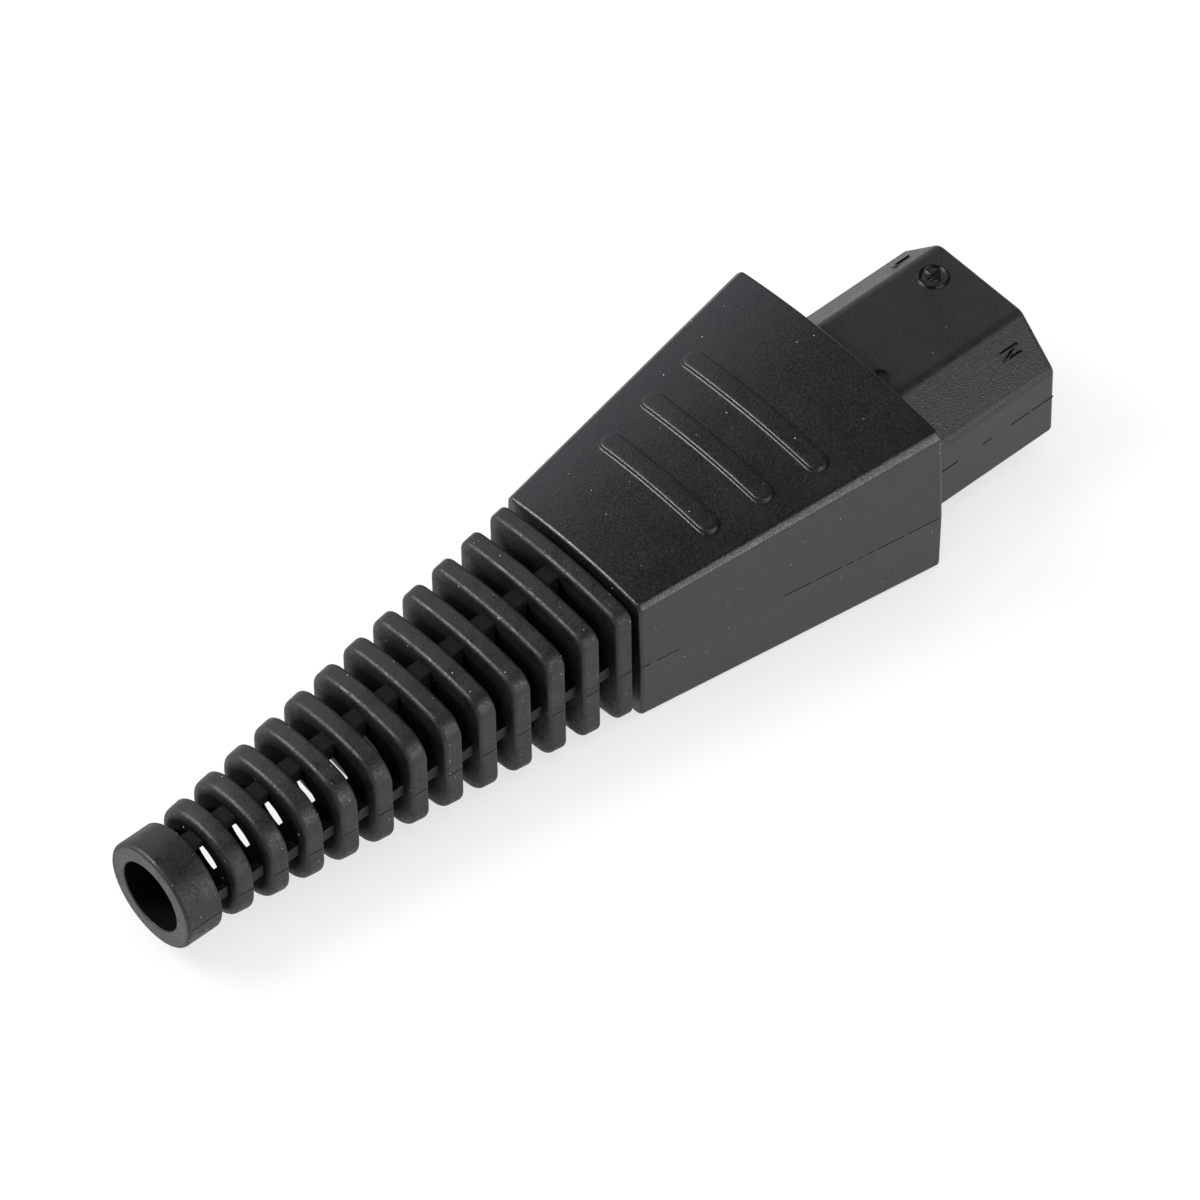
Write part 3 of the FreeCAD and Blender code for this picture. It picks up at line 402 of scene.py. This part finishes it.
def taperShare(station):
    # 0 at the first ring's front face, 1 at the collar
    return (station + boot["coverGap"]) / (collarFront + boot["coverGap"])


def bootOutline(stations):
    # the ruled taper: each outline point goes straight from the first ring's to the last ring's
    return firstOutline + (lastOutline - firstOutline) * taperShare(stations)[:, None, None]


def outwards(outlines):
    # unit normals of closed outlines, from the chord through each point's neighbours turned a quarter
    chord = np.roll(outlines, -1, axis=-2) - np.roll(outlines, 1, axis=-2)
    normal = np.stack([chord[..., 1], -chord[..., 0]], -1)
    return normal / np.linalg.norm(normal, axis=-1, keepdims=True)


def stand(stations, outlines):
    # outlines about the cable axis, each stood up at its station along X
    x = np.broadcast_to(stations[:, None], outlines.shape[:2])
    return np.stack([x, outlines[..., 0], outlines[..., 1] + axisHeight], -1)


def edgeProfile(rear, front, radius, steps):
    # stations and insets over two quarter-round edges, from the rear face's edge to the front face's
    turn = np.linspace(0, math.pi / 2, steps)
    step, inset = radius * (1 - np.cos(turn)), radius * (1 - np.sin(turn))
    return np.concatenate([rear + step, front - step[::-1]]), np.concatenate([inset, inset[::-1]])


def boreOutline(outline, radius):
    # points of a circle at the same angles about the axis as the outline's points
    angle = np.arctan2(outline[..., 1], outline[..., 0])
    return radius * np.stack([np.cos(angle), np.sin(angle)], -1)


def ringShell(rear, front):
    # rear face, rounded edge, rim, rounded edge, front face and bore, as one closed band
    stations, insets = edgeProfile(rear, front, boot["edgeRound"], boot["roundSteps"])
    outlines = bootOutline(stations)
    rim = outlines - insets[:, None, None] * outwards(outlines)
    edge, draft = boot["boreEdge"], boot["draft"]
    boreStations = np.array([front + draft, front + draft - edge, rear - draft + edge, rear - draft])
    boreRadii = boot["bore"] + np.array([edge, 0, 0, edge])
    bores = np.stack([boreOutline(outlines[0], radius) for radius in boreRadii])
    # painted shade: each face turns darker and duller in steps on the way down to the cable way
    down = np.linspace(*boot["shadeFade"], shadeSteps)
    share = down[:, None, None]
    frontFace = rim[-1] * (1 - share) + bores[0] * share
    rearFace = (rim[0] * (1 - share) + bores[-1] * share)[::-1]
    allStations = np.concatenate([stations, front + draft * down, boreStations, rear - draft * down[::-1]])
    # material numbers: the outer rubber on the rim, then painted-shade steps down each face, darkest in the
    # bore
    shadeFade = np.arange(shadeSteps + 1)
    looks = np.concatenate([np.zeros(len(stations) - 1), shadeFade, [shadeSteps] * 3, shadeFade[::-1]])
    return shell(stand(allStations, np.concatenate([rim, frontFace, bores, rearFace])), looks=looks)


def turnedShell(profile, looks, count):
    # a closed profile of station and radius turned round the cable axis
    angle = np.linspace(0, 2 * math.pi, count, endpoint=False)
    circle = np.stack([np.cos(angle), np.sin(angle)], -1)
    return shell(stand(profile[:, 0], profile[:, 1, None, None] * circle), looks=looks)


def roundedCorners(corners, radii, steps):
    # a closed polygon whose corners become arcs: a corner's centre lies on the line that halves it, and its
    # arc's points are blended from one tangent point to the other and pushed out to the radius
    corners = np.array(corners, float)
    radii = np.array(radii, float)[:, None]
    before = np.roll(corners, 1, axis=0) - corners
    after = np.roll(corners, -1, axis=0) - corners
    before /= np.linalg.norm(before, axis=1, keepdims=True)
    after /= np.linalg.norm(after, axis=1, keepdims=True)
    half = np.arccos(np.clip((before * after).sum(1), -1, 1))[:, None] / 2
    reach = radii / np.tan(half)
    middle = before + after
    middle /= np.linalg.norm(middle, axis=1, keepdims=True)
    centre = corners + middle * radii / np.sin(half)
    start = corners + before * reach - centre
    end = corners + after * reach - centre
    share = np.linspace(0, 1, steps)[None, :, None]
    blend = start[:, None] * (1 - share) + end[:, None] * share
    blend *= radii[:, None] / np.linalg.norm(blend, axis=2, keepdims=True)
    return (centre[:, None] + blend).reshape(-1, 2)


def barShell(rear, front, outline, look):
    # a straight bar along X with the given section, closed at each end by its middle point
    middle = np.broadcast_to(outline.mean(0), outline.shape)
    outlines = np.stack([middle, outline, outline, middle])
    return shell(stand(np.array([rear, rear, front, front]), outlines), closed=False, looks=look)


def bridgeOutlines(station):
    # four bridges round the cable way in one gap: a rounded outer side, flanks, and the bore's own curve
    # inside, each worked out for the far side and turned by quarters to its own
    share = taperShare(station)
    half, rise, drop = (boot["first"][key] + (boot["last"][key] - boot["first"][key]) * share
                        for key in ("half", "rise", "drop"))
    bore, edge, steps = boot["bore"], boot["bridgeRound"], boot["bridgeSteps"]
    upright, level = boot["bridgeHeight"] / 2, boot["bridgeWidth"] / 2
    outlines = []
    for turn, reach, flank in ((0, half, upright), (1, rise, level), (2, half, upright), (3, drop, level)):
        outer = reach - boot["bridgeRecess"]
        angle = math.asin(flank / bore)
        section = np.concatenate([
            arcPoints((0, 0), bore, angle, -angle, boot["boreSteps"]),
            [[bore * math.cos(angle), -flank]],
            arcPoints((outer - edge, edge - flank), edge, -math.pi / 2, 0, steps),
            arcPoints((outer - edge, flank - edge), edge, 0, math.pi / 2, steps),
            [[outer - edge, flank]],
        ])
        c, s = round(math.cos(turn * math.pi / 2)), round(math.sin(turn * math.pi / 2))
        outlines.append(section @ np.array([[c, s], [-s, c]]))
    return outlines


def neckShell():
    # the neck that passes through the cover's rear wall and the flange that holds it behind the wall
    width, height = boot["neckHalf"]
    neck, flange = [
        roundedCorners([(width + lip, -height - lip), (width + lip, height + lip),
                        (-width - lip, height + lip), (-width - lip, -height - lip)],
                       [boot["neckCorner"]] * 4, boot["neckSteps"])
        for lip in (0, boot["lip"])
    ]
    rear = -boot["coverGap"] - boot["neckSink"]
    end = boot["coverWall"] + boot["flange"]
    stations = np.array([rear, boot["coverWall"], boot["coverWall"], end, end, rear])
    bore = boreOutline(neck, boot["bore"])
    looks = np.array([0, 0, 0, 0, shadeSteps, 0])  # darkest painted shade in the cable way
    return shell(stand(stations, np.stack([neck, neck, flange, flange, bore, bore])), looks=looks)


def collarShell():
    # a turned ring with rounded corners, its front face drafted as the rings' faces are
    reach, radius, bore, edge = boot["reach"], boot["collarRadius"], boot["bore"], boot["boreEdge"]
    corners = [(-reach, bore), (-reach, radius), (collarFront, radius), (collarFront + boot["draft"], bore)]
    rounds = [edge, boot["collarRound"], boot["collarEdge"], edge]
    profile = roundedCorners(corners, rounds, boot["collarSteps"])
    looks = np.zeros(len(profile), int)
    looks[[boot["collarSteps"] - 1, -1]] = shadeSteps + 1, shadeSteps  # rubbed end face, darkest painted shade in the cable way
    return turnedShell(profile, looks, boot["collarPoints"])


def makeBoot():
    # rings and collar side by side, the bridges and the neck joined to them, and the mould line cut
    gapStarts = collarFront + ringPitch * np.arange(boot["gapCount"])
    gapEnds = gapStarts + boot["ringGap"]
    ringFronts = np.append(gapStarts[1:], -boot["coverGap"])
    rings = [ringShell(rear, front) for rear, front in zip(gapEnds, ringFronts)]
    sink = boot["bridgeSink"]
    bars = [barShell(start - sink, end + sink, outline, look) for start, end in zip(gapStarts, gapEnds)
            for outline, look in zip(bridgeOutlines(start), boot["bridgeShadeLooks"])]
    piece = makePiece("ribbed_boot", rings + [collarShell()], *bootRubbers)
    combine(piece, makePiece("boot_bridges", bars + [neckShell()], *bootRubbers), "UNION")
    slope = (boot["first"]["half"] - boot["last"]["half"]) / (-collarFront - boot["coverGap"])
    half = boot["first"]["half"] + slope * boot["coverGap"]
    cuts = [(rear, front, half, slope) for rear, front in zip(gapEnds, ringFronts)]
    cuts.append((mouldLine["collarStart"] - boot["reach"], collarFront, boot["collarRadius"], 0))
    grooves = [grooveShell(*cut, side) for side in (-1, 1) for cut in cuts]
    combine(piece, makePiece("boot_grooves", grooves, *bootRubbers), "DIFFERENCE")
    finishShading(piece)
    dress(piece, "boot_rubber", "bend_relief_boot")
    print("boot:", len(piece.data.polygons), "faces")


makeBoot()


# Cover: a tapered shell with rounded edges, an opening for the boot's neck, and three grip ribs
cover = {
    "length": 38.4, "width": (22.0, 33.5), "rise": (9.35, 13.05), "crown": (0.86, 1.27), "draft": 1.75,
    "wall": boot["coverWall"], "edgeRound": 0.8, "cavityRound": 0.25, "fitGap": 0.15,
    "topEdge": (0.85, 1.15), "topFlat": 0.5,  # radius at the rear and front, and how far its arc is flattened
    "rim": 0.4, "rimSteps": 6, "bodyRows": 9,
    "floorPoints": 12, "cornerPoints": 7, "sidePoints": 5, "edgePoints": 13, "crownPoints": 12,
    "ribFront": 26.0, "ribPitch": 6.85, "ribCount": 3, "ribMargin": 3.9,
    "ribLine": {"half": 1.2, "height": 0.42, "topRound": 0.2, "footRound": 0.2, "sink": 0.5, "steps": 5},
    "ribEndPoints": 16, "ribSidePoints": 24,
    "screwX": 21.75, "screwHead": 2.85, "screwSink": 0.2, "screwHole": 1.6, "seatPoints": 64,
}


def taper(pair, x):
    # straight from the rear value to the front one
    return pair[0] + (pair[1] - pair[0]) * x / cover["length"]


def mirrored(right, top):
    # a closed outline from its right half, which runs from the bottom's middle to just before the top's
    return np.concatenate([right, np.concatenate([[[0, top]], right[:0:-1]]) * (-1, 1)])


def coverOutline(x, inset, corner, topCorner, flat):
    # sides that lean in above and below the mould line, a flat floor and a crowned top, all moved in by
    # inset; a corner arc of radius r between lines that meet at an angle a starts r / tan(a / 2) from their
    # crossing, and the upper corner's arc is drawn in towards its chord, most in its middle, which leaves a
    # soft facet
    half = taper(cover["width"], x) / 2 - inset
    rise = taper(cover["rise"], x) - inset
    floor = inset - axisHeight
    draft = math.radians(cover["draft"])
    floorHalf = half + floor * math.tan(draft)
    topHalf = half - rise * math.tan(draft)
    crown = taper(cover["crown"], x)
    crownRadius = (topHalf ** 2 + crown ** 2) / (2 * crown)
    slope = math.asin(topHalf / crownRadius)
    side = np.array([math.sin(draft), math.cos(draft)])  # along the lower side, upwards and out
    floorBack = corner / math.tan((math.pi / 2 + draft) / 2)
    topBack = topCorner / math.tan((math.pi / 2 + draft + slope) / 2)
    low = np.array([floorHalf, floor]) + floorBack * side
    high = np.array([topHalf, rise]) + topBack * side * (1, -1)
    lowCentre = np.array([floorHalf - floorBack, floor + corner])
    highCentre = high - topCorner * np.array([math.cos(draft), math.sin(draft)])
    crownStart = math.pi / 2 - slope + topBack / crownRadius
    crownCentre = np.array([0, rise + crown - crownRadius])
    crownEnd = crownCentre + crownRadius * np.array([math.cos(crownStart), math.sin(crownStart)])
    count = cover["edgePoints"]
    highArc = arcPoints(highCentre, topCorner, draft, crownStart, count)
    along = np.linspace(-1, 1, count, endpoint=False)[:, None]
    highArc += flat * (1 - along ** 2) * (linePoints(high, crownEnd, count) - highArc)
    right = np.concatenate([
        linePoints((0, floor), (floorHalf - floorBack, floor), cover["floorPoints"]),
        arcPoints(lowCentre, corner, -math.pi / 2, -draft, cover["cornerPoints"]),
        linePoints(low, (half, 0), cover["sidePoints"]),
        linePoints((half, 0), high, cover["sidePoints"]),
        highArc,
        arcPoints(crownCentre, crownRadius, crownStart, math.pi / 2, cover["crownPoints"]),
    ])
    return mirrored(right, rise + crown)


def openingOutline(halfWidth, halfHeight, corner):
    # the neck's opening, with as many points on each stretch as the cover's outline has
    across, up = halfWidth - corner, halfHeight - corner
    right = np.concatenate([
        linePoints((0, -halfHeight), (across, -halfHeight), cover["floorPoints"]),
        arcPoints((across, -up), corner, -math.pi / 2, 0, cover["cornerPoints"]),
        linePoints((halfWidth, -up), (halfWidth, 0), cover["sidePoints"]),
        linePoints((halfWidth, 0), (halfWidth, up), cover["sidePoints"]),
        arcPoints((across, up), corner, 0, math.pi / 2, cover["edgePoints"]),
        linePoints((across, halfHeight), (0, halfHeight), cover["crownPoints"]),
    ])
    return mirrored(right, halfHeight)


def coverShell():
    # rear face, rounded rim, tapered body, rounded rim, front rim face, cavity and neck opening, as one
    # closed band
    length, wall, rim = cover["length"], cover["wall"], cover["rim"]
    turn = np.linspace(0, math.pi / 2, cover["rimSteps"])
    steps, insets = rim * (1 - np.cos(turn)), rim * (1 - np.sin(turn))
    low, (rearTop, frontTop), flat = cover["edgeRound"], cover["topEdge"], cover["topFlat"]
    rear = [coverOutline(step, inset, low, rearTop, flat) for step, inset in zip(steps, insets)]
    front = [coverOutline(length - step, inset, low, frontTop, flat) for step, inset in zip(steps, insets)]
    front.reverse()
    share = np.linspace(0, 1, cover["bodyRows"])[1:-1]
    body = [rear[-1] + (front[0] - rear[-1]) * s for s in share]
    gap = cover["fitGap"]
    width, height = boot["neckHalf"]
    opening = openingOutline(width + gap, height + gap, boot["neckCorner"] + gap)
    cavity = [coverOutline(x, wall, cover["cavityRound"], cover["cavityRound"], 0) for x in (length, wall)]
    outlines = np.stack([opening, *rear, *body, *front, *cavity, opening])
    bodyStations = rim + (length - 2 * rim) * share
    stations = np.concatenate([[0], steps, bodyStations, length - steps[::-1], [length, wall, wall]])
    return shell(stand(stations, outlines))


def coverTop(x, y):
    # height of the crowned top: its middle less the drop of a circle at y
    rise, crown = taper(cover["rise"], x), taper(cover["crown"], x)
    topHalf = taper(cover["width"], x) / 2 - rise * math.tan(math.radians(cover["draft"]))
    radius = (topHalf ** 2 + crown ** 2) / (2 * crown)
    return axisHeight + rise + crown - radius + np.sqrt(radius ** 2 - y ** 2)


def ribShell(number):
    # a raised line across the cover, whose heights count from the crowned top under each point
    x = cover["ribFront"] - number * cover["ribPitch"]
    reach = taper(cover["width"], x) / 2 - cover["ribMargin"] - cover["ribLine"]["half"]
    profile = ridgeProfile(cover["ribLine"])
    rows = ridgeRows((x, -reach), (x, reach), profile, cover["ribEndPoints"], cover["ribSidePoints"])
    rows[..., 2] += coverTop(rows[..., 0], rows[..., 1])
    return shell(rows, closed=False)


def seatShell():
    # the countersunk hole for the cover screw, turned about an upright axis
    head, hole, sink = cover["screwHead"], cover["screwHole"], cover["screwSink"]
    deep = 2 * cover["wall"]  # reaches clear of the wall on both sides
    profile = np.array([(0, -deep), (head, -deep), (head, sink),
                        (hole, sink + head - hole), (hole, deep), (0, deep)])
    angle = np.linspace(0, 2 * math.pi, cover["seatPoints"], endpoint=False)
    x = cover["screwX"] + profile[:, :1] * np.cos(angle)
    y = profile[:, :1] * np.sin(angle)
    return shell(np.stack([x, y, np.broadcast_to(profile[:, 1:], x.shape)], -1), closed=False)


def makeCover():
    # the shell, with the ribs joined to it and the screw's seat and the mould line cut
    piece = makePiece("ribbed_cover", [coverShell()], coverPlastic)
    ribs = [ribShell(number) for number in range(cover["ribCount"])]
    combine(piece, makePiece("grip_ribs", ribs, coverPlastic), "UNION")
    rearHalf, frontHalf = np.array(cover["width"]) / 2
    slope = (frontHalf - rearHalf) / cover["length"]
    grooves = [grooveShell(start, end, rearHalf, slope, side)
               for side in (-1, 1) for start, end in mouldLine["coverDashes"]]
    combine(piece, makePiece("screw_seat_and_grooves", [seatShell(), *grooves], coverPlastic), "DIFFERENCE")
    finishShading(piece)
    dress(piece, "cover_nylon", "cover")
    print("cover:", len(piece.data.polygons), "faces")


makeCover()


# Pole marks on the nose: an earth sign in a ring on the top, and one letter on each cut corner
nose = {
    "top": 18.05, "half": 12.0, "chamfer": 5.4,
    "markLine": {"half": 0.16, "height": 0.24, "topRound": 0.11, "footRound": 0.06, "sink": 0.1, "steps": 5},
    "markEndPoints": 6,
    "earth": (55.33, 3.42), "earthRadius": 1.6, "earthPoints": 64, "earthStem": (0.3, 1.25),
    "earthBars": ((0.95, 0.3), (0.6, -0.2), (0.25, -0.7)),  # half length and height in the sign
    "letterX": {"neutral": 55.4, "live": 55.7},
    "letterUp": {"neutral": 0.5, "live": 0.9},  # up the cut corner from its middle
    "letterHeight": 2.4, "letterWidth": 1.0,
    "flashLine": {
        "half": 0.07, "height": 0.03, "topRound": 0.02, "footRound": 0.01, "sink": 0.05, "steps": 3},
    "flashEndPoints": 5,
    "dashes": ((42.6, 44.9), (48.7, 49.9), (52.9, 55.5), (56.0, 57.4), (57.6, 59.1)),
}


def markFrames():
    # origin, reading direction and up direction of each mark, in the plane that carries it
    slant = math.sqrt(0.5)
    forward = np.array([1, 0, 0])
    frames = {"earth": (np.array([*nose["earth"], nose["top"]]), forward, np.array([0, 1, 0]))}
    for name, side in (("neutral", -1), ("live", 1)):
        up = nose["letterUp"][name] * slant - nose["chamfer"] / 2  # from the top's edge line
        across = nose["half"] - nose["chamfer"] - up
        origin = np.array([nose["letterX"][name], side * across, nose["top"] + up])
        frames[name] = (origin, np.array([0, -slant, side * slant]), forward)
    return frames


def markLines():
    # start and end of each stroke, from the mark's middle, along its reading line and up
    w, h = nose["letterWidth"] / 2, nose["letterHeight"] / 2
    foot, head = nose["earthStem"]
    return {
        "earth": [((0, foot), (0, head)), *(((-half, up), (half, up)) for half, up in nose["earthBars"])],
        "neutral": [((-w, -h), (-w, h)), ((-w, h), (w, -h)), ((w, -h), (w, h))],
        "live": [((-w, h), (-w, -h)), ((-w, -h), (w, -h))],
    }


def earthRing(profile):
    # the ring round the earth sign: both flanks of the raised line, turned about the sign's middle
    turn = np.linspace(0, 2 * math.pi, nose["earthPoints"], endpoint=False)
    circle = np.stack([np.cos(turn), np.sin(turn)], -1)
    flanks = np.concatenate([profile, profile[-2:0:-1] * (-1, 1)])
    return withHeight((nose["earthRadius"] + flanks[:, 0, None, None]) * circle, flanks)


def flashShell(start, end, side):
    # one low dash of flash along a side of the nose, at the axis height
    place = (np.array([0, side * nose["half"], 0]), np.array([-side, 0, 0]), np.array([0, 0, 1]))
    rows = ridgeRows((start * -side, axisHeight), (end * -side, axisHeight), ridgeProfile(nose["flashLine"]),
                     nose["flashEndPoints"])
    return markShell(rows, place)


def makeMarks():
    # raised strokes for each sign and the nose's mould line as low dashes, both drawn dark as painted shade
    profile = ridgeProfile(nose["markLine"])
    lines = markLines()
    for name, place in markFrames().items():
        shells = [markShell(ridgeRows(start, end, profile, nose["markEndPoints"]), place)
                  for start, end in lines[name]]
        if name == "earth":
            shells.append(markShell(earthRing(profile), place, closed=True))
        # the strokes' dark colour is painted shade
        piece = makePiece(f"{name}_mark", shells, markShadePlastic)
        finishShading(piece)
        dress(piece, "insert_nylon")
    dashes = [flashShell(start, end, side) for side in (-1, 1) for start, end in nose["dashes"]]
    # the dashes' dark colour is painted shade for the mould line's shadow
    line = makePiece("nose_mould_line", dashes, mouldFlashShadePlastic)
    finishShading(line)
    dress(line, "insert_nylon")
    print("pole marks ready")


makeMarks()


# CAD nodes that keep their own shape: joined triangles, smooth shading and sharp edges
nodeFinish = {
    "socket_insert": nosePlastic, "terminal_retainer": innerPlastic, "cord_clamp": innerPlastic,
    "terminal_screws": steel, "cord_clamp_screws": steel, "cover_screw": steel, "threaded_insert": brass,
}
for pole in ("live", "neutral", "earth"):
    nodeFinish.update({f"{pole}_contact": brass, f"{pole}_spring": steel, f"{pole}_terminal": brass})


def smoothGroup(angle):
    # geometry nodes: join the loose triangles, shade them smooth and keep edges above the angle sharp
    tree = bpy.data.node_groups.new("join_and_smooth", "GeometryNodeTree")
    tree.interface.new_socket("Geometry", in_out="INPUT", socket_type="NodeSocketGeometry")
    tree.interface.new_socket("Geometry", in_out="OUTPUT", socket_type="NodeSocketGeometry")
    source = addNode(tree, "NodeGroupInput")
    joined = addNode(tree, "GeometryNodeMergeByDistance", {"Distance": 10 * weld},
                     {"Geometry": source.outputs[0]})
    soft = addNode(tree, "GeometryNodeSetShadeSmooth", {"domain": "FACE"}, {"Geometry": joined.outputs[0]})
    turn = addNode(tree, "GeometryNodeInputMeshEdgeAngle")
    steep = addNode(tree, "FunctionNodeCompare", {"operation": "GREATER_THAN", 1: math.radians(angle)},
                    {0: turn.outputs["Unsigned Angle"]})
    sharp = addNode(tree, "GeometryNodeSetShadeSmooth", {"domain": "EDGE", "Shade Smooth": False},
                    {"Geometry": soft.outputs[0], "Selection": steep.outputs[0]})
    addNode(tree, "NodeGroupOutput", links={0: sharp.outputs[0]})
    return tree


joinAndSmooth = smoothGroup(shading["cadSharpAngle"])
for name, material in nodeFinish.items():
    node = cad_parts[name]
    node.data.materials.clear()
    node.data.materials.append(material)
    node.modifiers.new("smooth", "NODES").node_group = joinAndSmooth
    keepFlats(node, shading["cadFlatWeight"])
print("CAD nodes dressed")


# Stage: pale floor, soft lamps, a dim ceiling above a bright surround, and the photograph's camera
stage = {
    "floorReach": 3000.0, "floorRings": 4, "floorPoints": 48, "floorColour": "#f4f4f3",
    "floorDrop": 0.03,  # keeps the floor clear of the part's flat underside
    "whiteShare": 0.88, "glow": (0.75, 1.04), "shadowReach": 12.0, "shadowSamples": 2,
    "surround": 0.45, "ceiling": 0.05, "ceilingFrom": 0.75,
    # a lamp's direction from the part, distance and size in metres, brightness (1 is paper white), colour
    "lamps": {
        "near_softbox": ((0.1, -0.946, 0.309), 0.9, (0.8, 0.36), 5.0, "#ffffff"),
        "far_left_softbox": ((-0.5, 0.52, 0.69), 0.9, (0.5, 0.45), 14.0, "#ffffff"),
        "far_window": ((0.2, 0.8, 0.56), 0.9, (0.6, 0.3), 1.5, "#f0f4ff"),
    },
}


def paperMaterial():
    # matt white paper that looks evenly white to the camera and in reflections, with the part's soft shadow
    material, tree = newMaterial("matt_white_paper")
    path = addNode(tree, "ShaderNodeLightPath")
    glossy = addNode(tree, "ShaderNodeMath", {"operation": "MAXIMUM"},
                     {0: path.outputs["Is Camera Ray"], 1: path.outputs["Is Glossy Ray"]})
    seen = addNode(tree, "ShaderNodeMath", {"operation": "MAXIMUM"},
                   {0: glossy.outputs[0], 1: path.outputs["Is Transmission Ray"]})
    share = addNode(tree, "ShaderNodeMath", {"operation": "MULTIPLY", 1: stage["whiteShare"]},
                    {0: seen.outputs[0]})
    paper = addNode(tree, "ShaderNodeBsdfDiffuse", {"Color": linear(stage["floorColour"])})
    # the white glow fades where the part stands close over the floor, so that its shadow stays
    openness = addNode(tree, "ShaderNodeAmbientOcclusion",
                       {"samples": stage["shadowSamples"], "Distance": stage["shadowReach"] * mm})
    glow = addNode(tree, "ShaderNodeMapRange", {"To Min": stage["glow"][0], "To Max": stage["glow"][1]},
                   {"Value": openness.outputs["AO"]})
    white = addNode(tree, "ShaderNodeEmission", links={"Strength": glow.outputs[0]})
    mixed = addNode(tree, "ShaderNodeMixShader",
                    links={0: share.outputs[0], 1: paper.outputs[0], 2: white.outputs[0]})
    # clear from below, so that a view from there shows the part's underside
    below = addNode(tree, "ShaderNodeNewGeometry").outputs["Backfacing"]
    clear = addNode(tree, "ShaderNodeBsdfTransparent")
    oneSided = addNode(tree, "ShaderNodeMixShader",
                       links={0: below, 1: mixed.outputs[0], 2: clear.outputs[0]})
    finishMaterial(tree, oneSided)
    return material


def makeFloor():
    # a wide disc: rows are growing circles about a pole under the part
    radii = np.linspace(0, stage["floorReach"], stage["floorRings"])
    turn = np.linspace(0, 2 * math.pi, stage["floorPoints"], endpoint=False)
    plan = radii[:, None, None] * np.stack([np.cos(turn), np.sin(turn)], -1)
    points = np.concatenate([plan, np.full_like(plan[..., :1], -stage["floorDrop"])], -1)
    floor = makePiece("floor", [shell(points, closed=False)], paperMaterial())
    if floor.data.polygons[0].normal.z < 0:
        floor.data.flip_normals()


def makeWorld():
    # white to the camera; to the part, bright round the horizon and dimmer towards the ceiling
    world = bpy.data.worlds.new("studio")
    bpy.context.scene.world = world
    world.use_nodes = True
    tree = world.node_tree
    tree.nodes.clear()
    direction = addNode(tree, "ShaderNodeTexCoord").outputs["Generated"]
    parts = addNode(tree, "ShaderNodeSeparateXYZ", links={0: direction})
    level = addNode(tree, "ShaderNodeMapRange",
                    {"From Max": stage["ceilingFrom"], "To Min": stage["surround"],
                     "To Max": stage["ceiling"]},
                    {"Value": parts.outputs["Z"]})
    path = addNode(tree, "ShaderNodeLightPath")
    around = addNode(tree, "ShaderNodeBackground", links={"Strength": level.outputs[0]})
    white = addNode(tree, "ShaderNodeBackground", {"Color": linear("#ffffff"), "Strength": 1.0})
    mixed = addNode(tree, "ShaderNodeMixShader",
                    links={0: path.outputs["Is Camera Ray"], 1: around.outputs[0], 2: white.outputs[0]})
    addNode(tree, "ShaderNodeOutputWorld", links={"Surface": mixed.outputs[0]})


def makeLamps():
    # a lamp's brightness is its power over four times its area
    for name, (direction, distance, (width, height), brightness, colour) in stage["lamps"].items():
        data = bpy.data.lights.new(name, "AREA")
        data.shape = "RECTANGLE"
        data.size, data.size_y = width, height
        data.energy = brightness * 4 * width * height
        data.color = linear(colour)[:3]
        lamp = bpy.data.objects.new(name, data)
        lamp.location = Vector(direction).normalized() * distance
        lamp.rotation_euler = (-lamp.location).to_track_quat("-Z", "Y").to_euler()
        bpy.context.scene.collection.objects.link(lamp)


camera = {
    "place": (-0.418308, -0.493747, 0.767680), "heading": 40.52, "tilt": 40.50, "roll": -1.13,
    "lens": 279.126, "sensor": 36.0, "clipStart": 0.01,
}


def makeCamera():
    # turned about Z to the heading, tilted up from straight down, then rolled about its own line of sight
    data = bpy.data.cameras.new("photo_camera")
    data.lens = camera["lens"]
    data.sensor_width = camera["sensor"]
    data.clip_start = camera["clipStart"]
    item = bpy.data.objects.new("photo_camera", data)
    item.matrix_world = (Matrix.Translation(camera["place"])
                         @ Matrix.Rotation(math.radians(-camera["heading"]), 4, "Z")
                         @ Matrix.Rotation(math.radians(camera["tilt"]), 4, "X")
                         @ Matrix.Rotation(math.radians(camera["roll"]), 4, "Z"))
    bpy.context.scene.collection.objects.link(item)
    bpy.context.scene.camera = item


makeFloor()
makeWorld()
makeLamps()
makeCamera()
bpy.context.scene.view_settings.view_transform = "Standard"
print("stage ready")
